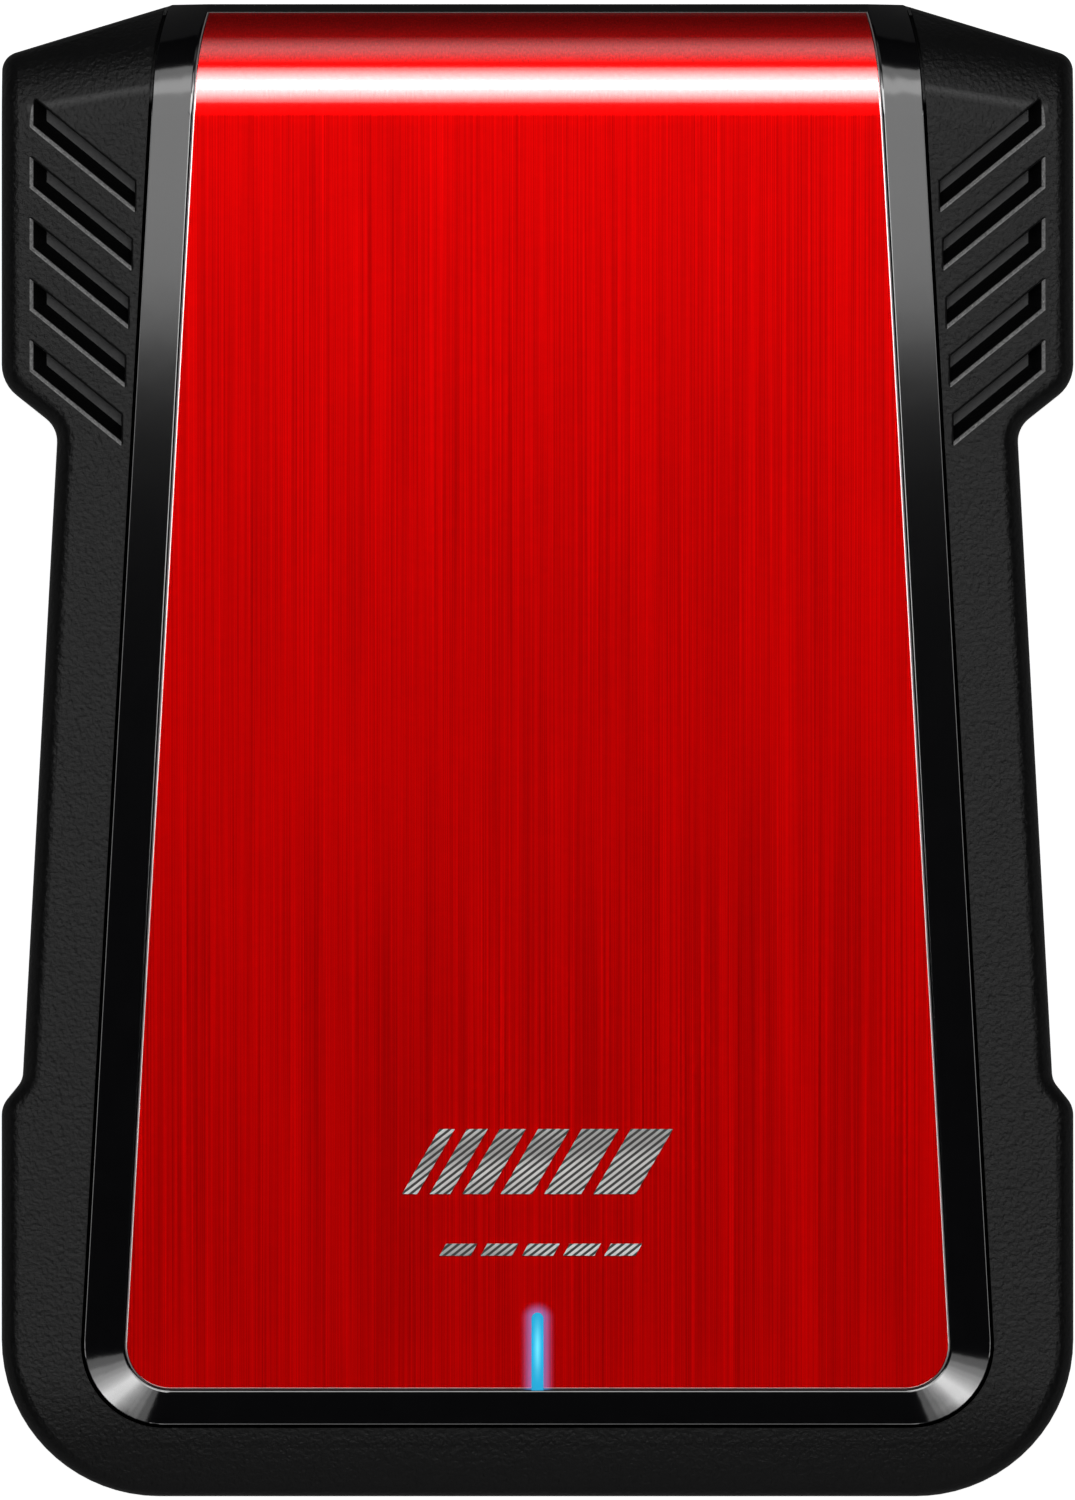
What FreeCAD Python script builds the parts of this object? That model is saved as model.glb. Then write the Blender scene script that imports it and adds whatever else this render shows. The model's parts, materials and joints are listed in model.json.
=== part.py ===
"""Portable solid state drive: a 2.5 inch drive in a tool-free sliding enclosure with a USB bridge board.

Frame, in millimetres: origin at the centre of the footprint on the surface it lies on, +Z up through
the thickness, +Y towards the curved end that leads the cover off, -Y towards the USB end.
Bodies: the base with its bridge board, the sliding cover, the drive that unplugs, the lock slider.
"""

import FreeCAD, Part
import math
import os

from FreeCAD import Vector

# Overall size
LENGTH = 135.7
WIDTH = 97.4
HEIGHT = 16.6             # top of the face plate
HALF_L = LENGTH / 2
HALF_W = WIDTH / 2

# Case outline, right half, from the curved end to the USB end: (x, y, corner radius)
NECK_HALF = 33.2          # half width of the straight part of the curved end
OUTLINE = [
    (NECK_HALF, HALF_L, 3.0),
    (HALF_W, 63.05, 1.75),
    (HALF_W, 33.3, 3.6),
    (43.6, 29.25, 2.6),
    (46.8, -30.0, 2.0),
    (HALF_W, -32.35, 2.3),
    (HALF_W, -HALF_L, 14.3),
]

# Case shells
CASE_Z0 = 0.6             # underside of the case; the feet stand this far below it
FLOOR_TOP = 2.4
SEAM_Z = 6.0              # side seam between base and cover
SEAM_GAP = 0.2
WALL = 1.8
CEILING = 13.0            # inside of the cover over the drive
WING_CEILING = 11.9       # inside of the cover beside the drive
WING_TOP = 14.9
BOTTOM_ROUND = 1.5
TOP_ROUND = 1.6
CAVITY_START = 1.1        # the cover's hollow starts this far inside the base's end wall
CENTRE_EXTRA = 2.0        # the taller part of the hollow is this much wider than the bay, each side
TONGUE_HALF = 40.0        # the cover's end wall reaches down to the table between here and -here
END_BLOCK_Y = -63.6       # beyond here the base's end wall stands up to the cover's roof
END_BLOCK_TOP = 11.4
END_WALL_HALF = 38.0
END_ROOM = 4.5            # the cover is hollowed this much wider than that wall's pocket, each side
TONGUE_Y = 60.0           # where that end wall's flanks start

# Crown: the top turns down towards the curved end on one arc
BEND_Y = 57.6
BEND_R = 13.0
BEND_END_TURN = 78.0      # degrees of arc modelled before it is trimmed to length
WING_BEND_TILT = 9.3      # degrees: the wings' bend runs back towards the sides
END_ARC_Y = -57.0         # the wings fall gently to the USB end from here
END_ARC_R = 36.0

# Face plate and gloss bezel, both tapered towards the curved end
TAPER = 0.0548
PLATE_HALF = 34.5         # half width at y = 0
PLATE_Y0 = -58.1
PLATE_Y1 = 67.1
PLATE_R = 4.1
PLATE_T = 0.8
PLATE_PROUD = 0.3
PLATE_ROUND = 0.26
TAPE_T = 0.1
TAPE_INSET = 1.5
TAPE_LENS_GAP = 0.6
BEZEL_HALF = 38.25
BEZEL_Y0 = -61.3
BEZEL_R = 7.3
BEZEL_LAND = 0.15         # flat strip between the plate and the bevel
BEZEL_DROP = 1.4          # fall of the bevel from the land to its outer edge
BEZEL_DECK = 2.4          # depth of the bezel's underside below the crown
BEZEL_LIP_Z = 8.6
BEZEL_ROUND = 0.18
CREST_ROUND = 0.4         # where the land turns into the bevel
PEG_R = 1.2
PEG_Z0 = 13.1
PEG_SPOTS = [(28.0, 48.0), (30.0, 0.0), (32.0, -48.0)]
TRIM_ARC_Y = 60.5         # the trim's sides curve inwards from here
TRIM_ARC_R = 28.0
TRIM_GAP = 0.28
FIT = 0.05                # clearance all round an inserted piece

# Indicator lens in the face plate
LENS_HALF = 0.5
LENS_LENGTH = 7.0
LENS_SINK = 0.05
LENS_FLANGE = 0.8
LENS_FLANGE_HALF = 1.7
LENS_FLANGE_PAST = 1.2    # how far the flange reaches past the lens at both ends
LENS_STEM_HALF = 1.0
LENS_STEM_Y = (PLATE_Y0 + 0.6, PLATE_Y0 + 6.0)
LENS_STEM_Z0 = 12.1
STEM_CLEAR = 0.2

# Grip slots in the wings
SLOT_COUNT = 5
SLOT_PITCH = 5.55
SLOT_X1 = 46.1
SLOT_INSET = 1.15         # from the bezel's edge
SLOT_INNER_DROP = 8.0     # how far down the slot's inner end is taken to lie
SLOT_TOP_Y = 59.45        # first slot, upper corner at its outer end
SLOT_SLOPE = 39.2         # degrees
SLOT_H = 2.8              # height along y
SLOT_DEPTH = 1.8
SLOT_RIM = 0.2            # rounding of its rim
SLOT_OUTER_IN = 1.5       # how far the outer end and the lower side slope inwards
SLOT_LOWER_IN = 1.75

# Emblem on the face plate: slanted bars over a row of short dashes
EMBLEM_T = 0.15
EMBLEM_BARS = 6
EMBLEM_Y = (-40.3, -34.4)
EMBLEM_HALF = 10.6
EMBLEM_GAP = 1.1
EMBLEM_LEAN = 3.4
EMBLEM_GROWTH = 0.35      # each bar is wider than the last by this share of the first
DASH_COUNT = 5
DASH_Y = (-45.9, -44.8)
DASH_HALF = 8.9
DASH_GAP = 0.9
DASH_LEAN = 0.6

# Foam pads over and under the drive
FOAM_HALF = 24.0
FOAM_Y = (-25.0, 40.0)
FOAM_SLACK = 0.2          # air left under the base's pad
COVER_FOAM_SLACK = 0.35

# Drive
DRIVE_L = 100.2
DRIVE_W = 69.85
DRIVE_T = 7.0
DRIVE_Y0 = -43.2
DRIVE_Z0 = 3.5
DRIVE_LID_T = 0.8
DRIVE_WALL = 1.0
DRIVE_HALF = DRIVE_W / 2
DRIVE_Y1 = DRIVE_Y0 + DRIVE_L
DRIVE_TOP = DRIVE_Z0 + DRIVE_T
MOUNT_YS = (DRIVE_Y0 + 14.0, DRIVE_Y0 + 90.6)
MOUNT_HALF = 61.72 / 2    # bottom mounting holes, half their spacing
SIDE_HOLE_UP = 3.0
M3_TAP_R = 1.25
BOSS = 6.0
TRAY_FLOOR = 0.9
BOSS_TOP = DRIVE_Z0 + 5.0
DRIVE_SCREW_R = 0.78
DRIVE_HEAD_R = 1.5
LID_SCREW_X = 32.2
LID_SCREW_Y_IN = 2.6
LID_BOSS_R = 1.9
LID_SEAT = 0.25           # depth of lid left under a screw's head
DRIVE_BOARD_Z = (4.9, 5.9)
DRIVE_BOARD_HALF = 29.725
DRIVE_BOARD_Y1 = 26.0
CONTROLLER = (-4.0, -22.0, 14.0, 14.0, 1.1)      # middle x and y, width, length, height
DRAM = (12.0, -22.0, 9.0, 12.0, 1.0)
FLASH_SIZE = (18.0, 12.0, 1.2)
FLASH_XS = (-13.0, 9.0)
FLASH_YS = (-3.0, 14.5)
PAD_IN = 0.5              # the thermal pad stops this far inside the controller's edges
LABEL_HALF = 28.0
LABEL_Y = (-34.0, 48.0)
LABEL_T = 0.06

# Drive bay, rails and hooks
BAY_HALF = 35.1
BAY_WALL = 1.5
BAY_TOP = 11.2
BAY_Y = (-44.0, 58.0)
LEDGE_X = (29.0, 33.6)
LEDGE_SHORT = 2.0         # the ledge starts this far inside the bay
RAIL_W = 2.0
RAIL_Z0 = 9.8
HOOK_GAP = 0.35
HOOK_T = 1.4
HOOK_Z0 = 8.1
HOOK_LENGTH = 14.0
HOOK_YS = (-46.0, -14.0, 18.0, 46.0)

LIP_LAP = 1.4             # how far a hook's lip reaches under the rail

# Bridge board and its connectors
BOARD_HALF = 30.0
BOARD_Y = (-65.0, -46.6)
BOARD_Z0 = 3.6
BOARD_TOP = 4.6
BOARD_SCREWS = [(28.0, -62.0), (28.0, -49.0), (-28.0, -49.0), (-28.0, -62.0)]
BOARD_POST_R = 2.4
HOLE_START = FLOOR_TOP - 0.6      # blind screw holes go this deep into the floor
M2_R = 0.98
M2_HEAD_R = 1.9
M2_HEAD_H = 1.1
M2_LENGTH = 2.4
THREAD_FIT = 0.02
BRIDGE_CHIP = (12.5, -55.6, 7.0, 7.0, 0.9)       # middle x and y, width, length, height
CONFIG_CHIP = (21.6, -55.6, 5.0, 4.0, 1.5)
CRYSTAL_X = (3.6, 6.8)
CRYSTAL_Y = (-58.2, -55.7)
INDUCTOR_SPOTS = [(-14.0, -56.0), (-20.0, -56.0)]
INDUCTOR_HALF = 2.0
INDUCTOR_H = 1.9
CAPACITOR = (1.6, 0.8, 0.8)       # length, width, height
CAPACITOR_ROW = (-24.0, -52.9, 2.6, 6)           # first x, y, pitch, count
CAPACITOR_COLUMN = (17.0, -59.6, 2.2, 3)         # x, first y, pitch, count
LAMP_HALF = 0.8
LAMP_Y = (-56.2, -53.0)
SATA_X = -4.8             # the drive's connector is off its centre line
SATA_HALF = 20.9
SATA_Y = (-50.4, -38.7)
SATA_Z = (5.2, 8.9)
SATA_TONGUE_Z = (6.4, 7.6)
SATA_TONGUES = [(-16.4, -5.9, 7), (-2.7, 18.0, 15)]   # from, to, contacts
SATA_TONGUE_Y = (DRIVE_Y0 + 0.2, DRIVE_Y0 + 5.2)
SATA_BACK_Y1 = DRIVE_Y0 + 6.6
SATA_KEY = 1.2
SATA_KEY_DROP = 0.7
SATA_PITCH = 1.27
SATA_PLAY = 0.15          # clearance round a tongue in its well
CONTACT_GROOVE = 0.4      # height of the space for the contact springs over a tongue
SPRING_T = 0.2
CONTACT_T = 0.1
CONTACT_W = 0.6
USB_HALF = 6.15
USB_Y = (-67.0, -59.6)
USB_TOP = 7.3
USB_SHEET = 0.3
USB_DIVIDER = 1.6
USB_SPLIT_X = 0.9         # middle of the wall between the two openings
USB_BACK = 1.2            # depth of the closed back
USB_CONTACTS = 5          # in each opening
PORT_CLEAR = 0.4

# Lock slider at the base's corner
LOCK_X = 40.0
LOCK_Y = -58.0
LOCK_TRAVEL = 3.0
LOCK_RIB_X = (43.4, 45.2)
LOCK_RIB_HALF = 3.0
LOCK_PLATE_X = (LOCK_X - 3.2, LOCK_X + 1.2)
LOCK_PLATE_HALF = 2.7
LOCK_PAD_X1 = LOCK_X + 1.4
LOCK_PAD_HALF = 2.0
LOCK_PAD_Z0 = CASE_Z0 + 0.35      # the thumb pad is sunk into the floor
LOCK_POST_X = (LOCK_X - 1.4, LOCK_X + 1.0)
LOCK_POST_HALF = 1.0
LOCK_TONGUE_X1 = LOCK_X + 2.4
LOCK_TONGUE_Z = (SEAM_Z + 0.6, SEAM_Z + 2.2)
LOCK_GROOVE = 0.4
LOCK_GROOVE_PITCH = 0.9
LOCK_GROOVES = 4
LOCK_PLAY = 0.2
LOCK_CAP_X = (LOCK_X - 7.2, LOCK_X + 3.3)
LOCK_CAP_HALF = 3.8
LOCK_CAP_Z0 = 3.95
LOCK_CAP_T = 0.8
LOCK_SCREW_X = LOCK_X - 5.2
LOCK_SCREW_HALF = 2.0     # half the distance between the two screws
LOCK_SCREW_R = 0.78
LOCK_POST_R = 1.6         # posts that the cap's screws go into

# Feet
FOOT_R = 5.0
FOOT_SEAT = 0.8
FOOT_ROUND = 0.35
FOOT_SPOTS = [(36.0, 51.0), (36.0, -46.5), (-36.0, -46.5), (-36.0, 51.0)]

# Overlaps and overruns used only while building
LAP = 0.2                 # pieces of one solid run this far into each other
BEYOND = 1.0              # cutters run this far past what they cut


def box(x0, x1, y0, y1, z0, z1):
    """A block between two corners."""
    return Part.makeBox(x1 - x0, y1 - y0, z1 - z0, Vector(x0, y0, z0))


def cylinder(x, y, z0, z1, radius):
    """An upright cylinder."""
    return Part.makeCylinder(radius, z1 - z0, Vector(x, y, z0))


def rounded(corners, z=0.0):
    """A closed wire through corners (x, y, radius), with an arc at each corner that has a radius."""
    joins = []
    count = len(corners)
    for i, (x, y, radius) in enumerate(corners):
        here = Vector(x, y, z)
        before = Vector(*corners[i - 1][:2], z) - here
        after = Vector(*corners[(i + 1) % count][:2], z) - here
        if radius <= 0:
            joins.append((here, here, here))
            continue
        half = before.getAngle(after) / 2
        reach = radius / math.tan(half)
        before.normalize()
        after.normalize()
        middle = before + after
        middle.normalize()
        centre = here + middle * (radius / math.sin(half))
        joins.append((here + before * reach, centre - middle * radius, here + after * reach))
    edges = []
    for i, (start, mid, end) in enumerate(joins):
        if (end - start).Length > 1e-6:
            edges.append(Part.Arc(start, mid, end).toShape())
        following = joins[(i + 1) % count][0]
        if (following - end).Length > 1e-6:
            edges.append(Part.LineSegment(end, following).toShape())
    return Part.Wire(edges)


def prism(wire, z0, z1):
    """A closed flat wire swept upright from z0 to z1."""
    flat = wire.copy()
    flat.translate(Vector(0, 0, z0 - flat.BoundBox.ZMin))
    return Part.Face(flat).extrude(Vector(0, 0, z1 - z0))


def slab(x0, x1, y0, y1, z0, z1, radius):
    """A block with rounded upright corners."""
    return prism(rounded([(x0, y0, radius), (x1, y0, radius), (x1, y1, radius), (x0, y1, radius)]), z0, z1)


def inset(wire, distance):
    """The wire moved inwards by distance; negative moves it outwards."""
    return Part.Face(wire).makeOffset2D(-distance).OuterWire


def mirrored(shape):
    """The shape reflected to the other side of the YZ plane."""
    return shape.mirror(Vector(0, 0, 0), Vector(1, 0, 0))


def both(shape):
    """The shape with its mirror image."""
    return [shape, mirrored(shape)]


def single(shape):
    """The one solid that a shape holds."""
    if len(shape.Solids) != 1:
        raise ValueError("expected one solid, found %d" % len(shape.Solids))
    return shape.Solids[0]


def cut(shape, *tools):
    """The shape less every tool, as one solid."""
    return single(shape.cut(list(tools)))


def fuse(first, *others):
    """The shapes joined as one solid."""
    return single(first.fuse(list(others)).removeSplitter())


def group(solids):
    """Separate solids that share a node."""
    return Part.makeCompound([part for shape in solids for part in shape.Solids])


def midpoint(edge):
    """The point halfway along an edge."""
    return edge.valueAt((edge.FirstParameter + edge.LastParameter) / 2)


def rounded_edges(shape, radius, chosen):
    """The shape with a fillet on the edges that chosen says yes to."""
    edges = [edge for edge in shape.Edges if chosen(edge)]
    if not edges:
        raise ValueError("no edge to round")
    return single(shape.makeFillet(radius, edges))


def slopes_beside(shape, edge):
    """How far each face beside the edge faces up, from 0 for an upright wall to 1, lowest first."""
    middle = midpoint(edge)
    slopes = []
    for face in shape.ancestorsOfType(edge, Part.Face):
        u, v = face.Surface.parameter(middle)
        slopes.append(abs(face.normalAt(u, v).z))
    return sorted(slopes)


def case_outline():
    """The whole case outline."""
    left = [(-x, y, r) for x, y, r in reversed(OUTLINE)]
    return rounded(OUTLINE + left)


def trim_outline(half, y0, y1, radius):
    """Outline of the plate or the bezel: tapered, round at the USB end, curving inwards at the other."""
    turn = math.atan(TAPER)
    x_arc = half - TAPER * TRIM_ARC_Y
    centre = Vector(x_arc - TRIM_ARC_R * math.cos(turn), TRIM_ARC_Y - TRIM_ARC_R * math.sin(turn), 0)
    end_turn = math.asin((y1 - centre.y) / TRIM_ARC_R)

    def on_arc(angle):
        return centre + Vector(math.cos(angle), math.sin(angle), 0) * TRIM_ARC_R

    start = on_arc(turn)
    mid = on_arc((turn + end_turn) / 2)
    end = on_arc(end_turn)
    x0 = half - TAPER * y0
    inner = math.pi / 2 - turn
    reach = radius / math.tan(inner / 2)
    corner = Vector(x0, y0, 0)
    up = Vector(-math.sin(turn), math.cos(turn), 0)
    side = corner + up * reach
    foot = corner - Vector(reach, 0, 0)
    middle = (up + Vector(-1, 0, 0)).normalize()
    knee = corner + middle * (radius / math.sin(inner / 2) - radius)

    def flip(v):
        return Vector(-v.x, v.y, v.z)

    edges = [
        Part.LineSegment(flip(foot), foot).toShape(),
        Part.Arc(foot, knee, side).toShape(),
        Part.LineSegment(side, start).toShape(),
        Part.Arc(start, mid, end).toShape(),
        Part.LineSegment(end, flip(end)).toShape(),
        Part.Arc(flip(end), flip(mid), flip(start)).toShape(),
        Part.LineSegment(flip(start), flip(side)).toShape(),
        Part.Arc(flip(side), flip(knee), flip(foot)).toShape(),
    ]
    return Part.Wire(edges)


def crown_fall(y):
    """How far the bend has dropped at y."""
    run = max(0.0, y - BEND_Y)
    return BEND_R - math.sqrt(BEND_R ** 2 - run ** 2)


def under_crown(depth):
    """Everything below the crown surface moved inwards by depth."""
    radius = BEND_R - depth
    top = HEIGHT - depth
    centre_z = HEIGHT - BEND_R
    far = LENGTH
    low = -BEYOND
    start = Vector(0, BEND_Y, top)
    mid = Vector(0, BEND_Y + radius * math.sin(math.pi / 4), centre_z + radius * math.cos(math.pi / 4))
    end = Vector(0, BEND_Y + radius, centre_z)
    edges = [
        Part.LineSegment(Vector(0, -far, top), start).toShape(),
        Part.Arc(start, mid, end).toShape(),
        Part.LineSegment(end, Vector(0, end.y, low)).toShape(),
        Part.LineSegment(Vector(0, end.y, low), Vector(0, -far, low)).toShape(),
        Part.LineSegment(Vector(0, -far, low), Vector(0, -far, top)).toShape(),
    ]
    solid = Part.Face(Part.Wire(edges)).extrude(Vector(2 * far, 0, 0))
    solid.translate(Vector(-far, 0, 0))
    return solid


def above_arc(start_y, radius, top, sign):
    """What lies above a surface that is flat at top and falls on an arc from start_y, sign +1 for +Y."""
    def on_arc(degrees):
        turn = math.radians(degrees)
        return Vector(0, start_y + sign * radius * math.sin(turn), top - radius + radius * math.cos(turn))

    start = on_arc(0)
    end = on_arc(78)
    high = top + 5.0
    edges = [
        Part.Arc(start, on_arc(37), end).toShape(),
        Part.LineSegment(end, Vector(0, end.y, high)).toShape(),
        Part.LineSegment(Vector(0, end.y, high), Vector(0, start_y, high)).toShape(),
        Part.LineSegment(Vector(0, start_y, high), start).toShape(),
    ]
    solid = Part.Face(Part.Wire(edges)).extrude(Vector(2 * LENGTH, 0, 0))
    solid.translate(Vector(-LENGTH, 0, 0))
    return solid


def trim_half(half, y):
    """Half width of the plate's or the bezel's outline at y."""
    if y <= TRIM_ARC_Y:
        return half - TAPER * y
    turn = math.atan(TAPER)
    centre_y = TRIM_ARC_Y - TRIM_ARC_R * math.sin(turn)
    centre_x = half - TAPER * TRIM_ARC_Y - TRIM_ARC_R * math.cos(turn)
    return centre_x + math.sqrt(TRIM_ARC_R ** 2 - (y - centre_y) ** 2)


def wing_bend(sign):
    """Cutter for one wing's bend at the curved end."""
    radius = BEND_R - (HEIGHT - WING_TOP)
    tool = above_arc(BEND_Y, radius, WING_TOP, 1)
    pivot = Vector(sign * (BEZEL_HALF - TAPER * BEND_Y), BEND_Y, 0)
    tool.rotate(pivot, Vector(0, 0, 1), -sign * WING_BEND_TILT)
    return tool


def plate_outline(grow=0.0):
    """The face plate's outline, moved outwards by grow."""
    return trim_outline(PLATE_HALF + grow, PLATE_Y0 - grow, PLATE_Y1 + grow, PLATE_R + grow)


def bezel_outline(grow=0.0):
    """The gloss bezel's outline, moved outwards by grow; it runs off the curved end."""
    return trim_outline(BEZEL_HALF + grow, BEZEL_Y0 - grow, HALF_L + BEYOND, BEZEL_R + grow)


def lens_shape(grow, z0, z1):
    """The indicator's slot-shaped column, open to the plate's USB-end edge."""
    half = LENS_HALF + grow
    y0 = PLATE_Y0 - grow
    y_round = PLATE_Y0 + LENS_LENGTH - LENS_HALF
    column = box(-half, half, y0, y_round, z0, z1)
    return fuse(column, cylinder(0, y_round, z0, z1, half))


def lens_flange(grow):
    """The indicator's foot, a wider block under the bezel."""
    half = LENS_FLANGE_HALF + grow
    y0 = PLATE_Y0 - LENS_FLANGE_PAST - grow
    y1 = PLATE_Y0 + LENS_LENGTH + LENS_FLANGE_PAST + grow
    z0 = HEIGHT - BEZEL_DECK
    return slab(-half, half, y0, y1, z0, z0 + LENS_FLANGE + grow, 0.6)


def lens_stem(grow, z0, z1):
    """The indicator's stem, which carries light down through the cover's deck."""
    half = LENS_STEM_HALF + grow
    y0, y1 = LENS_STEM_Y
    return slab(-half, half, y0 - grow, y1 + grow, z0, z1, 0.5 + grow / 2)


# Cover

def face_plate():
    """Brushed metal plate that covers the top and follows the bend."""
    blank = prism(plate_outline(), 0, 2 * HEIGHT).common(under_crown(0))
    plate = cut(blank, under_crown(PLATE_T))

    def top_rim(edge):
        middle = midpoint(edge)
        on_crown = abs(middle.z - (HEIGHT - crown_fall(middle.y))) < 1e-3
        bend_line = abs(middle.y - BEND_Y) < 1e-3
        return on_crown and not bend_line

    plate = rounded_edges(plate, PLATE_ROUND, top_rim)
    half = LENS_HALF + FIT
    notch = box(-half, half, PLATE_Y0 - BEYOND, PLATE_Y0 + BEYOND, 0, 2 * HEIGHT)
    return cut(plate, lens_shape(FIT, 0, 2 * HEIGHT), notch)


def plate_adhesive():
    """Thin bonding film between the plate and the bezel's tray."""
    blank = prism(plate_outline(-TAPE_INSET), 0, 2 * HEIGHT).common(under_crown(PLATE_T))
    return cut(blank, under_crown(PLATE_T + TAPE_T), lens_shape(TAPE_LENS_GAP, 0, 2 * HEIGHT))


def bezel_flat():
    """The bezel's tray up to the bend line: an upright rim under a bevelled top."""
    land = BEZEL_LAND
    edge_z = HEIGHT - PLATE_PROUD - BEZEL_DROP
    lower = prism(bezel_outline(), HEIGHT - BEZEL_DECK, edge_z)
    outer = bezel_outline()
    outer.translate(Vector(0, 0, edge_z))
    inner = trim_outline(PLATE_HALF + land, PLATE_Y0 - land, HALF_L + BEYOND, PLATE_R + land)
    inner.translate(Vector(0, 0, HEIGHT - PLATE_PROUD))
    upper = Part.makeLoft([outer, inner], True, True)
    before_bend = box(-HALF_W, HALF_W, -HALF_L, BEND_Y, 0, 2 * HEIGHT)
    return fuse(lower, upper).common(before_bend).Solids[0]


def bezel_section(turn):
    """The bezel's section in the plane that the bend has turned to."""
    sections = []
    for depth, half in ((BEZEL_DECK, BEZEL_HALF),
                        (PLATE_PROUD + BEZEL_DROP, BEZEL_HALF),
                        (PLATE_PROUD, PLATE_HALF + BEZEL_LAND)):
        radius = BEND_R - depth
        y = BEND_Y + radius * math.sin(turn)
        z = HEIGHT - BEND_R + radius * math.cos(turn)
        sections.append(Vector(trim_half(half, y), y, z))
    left = [Vector(-v.x, v.y, v.z) for v in reversed(sections)]
    return Part.makePolygon(sections + left + sections[:1])


def bezel_bend():
    """The bezel's tray round the bend."""
    steps = 13
    end = math.radians(BEND_END_TURN)
    sections = [bezel_section(end * i / steps) for i in range(steps + 1)]
    bend = Part.makeLoft(sections, True, False)
    keep = box(-HALF_W, HALF_W, BEND_Y - BEYOND, HALF_L, BEZEL_LIP_Z, 2 * HEIGHT)
    return bend.common(keep).Solids[0]


def pegs(radius, z0):
    """Round pegs that locate the bezel in the cover's deck."""
    top = HEIGHT - BEZEL_DECK + LAP
    right = [cylinder(x, y, z0, top, radius) for x, y in PEG_SPOTS]
    return right + [mirrored(peg) for peg in right]


def gloss_bezel():
    """Glossy tray: a bevelled frame round the plate, with a floor that the plate is bonded to."""
    tray = fuse(bezel_flat(), bezel_bend())
    crest_z = HEIGHT - PLATE_PROUD
    edge_z = crest_z - BEZEL_DROP

    def outer_rim(edge):
        middle = midpoint(edge)
        low, high = slopes_beside(tray, edge)
        return abs(middle.z - edge_z) < 1e-3 and low < 1e-3 < high and middle.y < BEND_Y

    def crest(edge):
        middle = midpoint(edge)
        low, high = slopes_beside(tray, edge)
        return abs(middle.z - crest_z) < 1e-3 and low < 0.99 < high and middle.y < BEND_Y

    tray = rounded_edges(tray, BEZEL_ROUND, outer_rim)
    tray = rounded_edges(tray, CREST_ROUND, crest)
    pocket = prism(plate_outline(FIT), 0, 2 * HEIGHT)
    pocket = pocket.cut(under_crown(PLATE_T + TAPE_T))
    tray = cut(tray, pocket, lens_shape(FIT, 0, 2 * HEIGHT), lens_flange(FIT))
    return fuse(tray, *pegs(PEG_R, PEG_Z0))


def light_pipe():
    """Clear lens in the plate's slot, with a foot under the bezel and a stem towards the board's lamp."""
    z1 = HEIGHT - LENS_SINK
    z0 = HEIGHT - BEZEL_DECK
    return fuse(lens_shape(0, z0, z1), lens_flange(0), lens_stem(0, LENS_STEM_Z0, z0 + LAP))


def slot_corners(index, z, outer_in=0.0, lower_in=0.0):
    """Corners of one grip slot at height z, with its outer end and its lower side moved inwards."""
    slope = math.tan(math.radians(SLOT_SLOPE))
    x1 = SLOT_X1 - outer_in
    top_y = SLOT_TOP_Y - SLOT_PITCH * index
    x0 = BEZEL_HALF + SLOT_INSET - TAPER * (top_y - SLOT_INNER_DROP)

    def upper(x):
        return top_y - slope * (SLOT_X1 - x)

    def lower(x):
        return upper(x) - SLOT_H + lower_in

    return Part.makePolygon([Vector(x0, lower(x0), z), Vector(x1, lower(x1), z), Vector(x1, upper(x1), z),
                             Vector(x0, upper(x0), z), Vector(x0, lower(x0), z)])


def grip_slot(index):
    """Cutter for one grip slot: a well whose outer end and lower side slope."""
    bottom = WING_TOP - SLOT_DEPTH
    wide = slot_corners(index, WING_TOP)
    well = Part.makeLoft([slot_corners(index, bottom, SLOT_OUTER_IN, SLOT_LOWER_IN), wide], True, True)
    return fuse(well, Part.Face(wide).extrude(Vector(0, 0, BEYOND)))


def cover_cavity():
    """The hollow inside the cover, deeper over the drive than beside it."""
    inner = inset(case_outline(), WALL)
    start = END_BLOCK_Y + CAVITY_START
    half = BAY_HALF + CENTRE_EXTRA
    centre = box(-half, half, start, HALF_L, 0, CEILING)
    wings = box(-HALF_W, HALF_W, start, HALF_L, 0, WING_CEILING)
    tall = prism(inner, 0, CEILING)
    centre = tall.common(centre).common(under_crown(HEIGHT - CEILING))
    wings = tall.common(wings).common(under_crown(HEIGHT - WING_CEILING))
    return centre.fuse(wings)


def hook(y):
    """A hook inside the cover that hangs under the base's rail."""
    x1 = BAY_HALF + BAY_WALL + RAIL_W + HOOK_GAP + HOOK_T
    lip_top = RAIL_Z0 - HOOK_GAP
    y0 = y - HOOK_LENGTH / 2
    arm = box(x1 - HOOK_T, x1, y0, y0 + HOOK_LENGTH, HOOK_Z0, WING_CEILING + LAP)
    lip = box(BAY_HALF + BAY_WALL + RAIL_W - LIP_LAP, x1, y0, y0 + HOOK_LENGTH, HOOK_Z0, lip_top)
    return fuse(arm, lip)


def lock_rib():
    """Rib inside the cover with a notch for the lock's tongue."""
    x0, x1 = LOCK_RIB_X
    half = LOCK_RIB_HALF
    rib = box(x0, x1, LOCK_Y - half, LOCK_Y + half, SEAM_Z + 2 * LOCK_PLAY, WING_CEILING + LAP)
    gap = LOCK_POST_HALF + 1.5 * LOCK_PLAY
    notch_top = LOCK_TONGUE_Z[1] + 1.5 * LOCK_PLAY
    return cut(rib, box(x0 - BEYOND, x1 + BEYOND, LOCK_Y - gap, LOCK_Y + gap, 0, notch_top))


def case_bottom(z1):
    """The case's lower part up to z1, with its bottom edge rounded."""
    block = prism(case_outline(), CASE_Z0, z1)
    return rounded_edges(block, BOTTOM_ROUND, lambda edge: edge.BoundBox.ZMax < CASE_Z0 + 1e-3)


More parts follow.
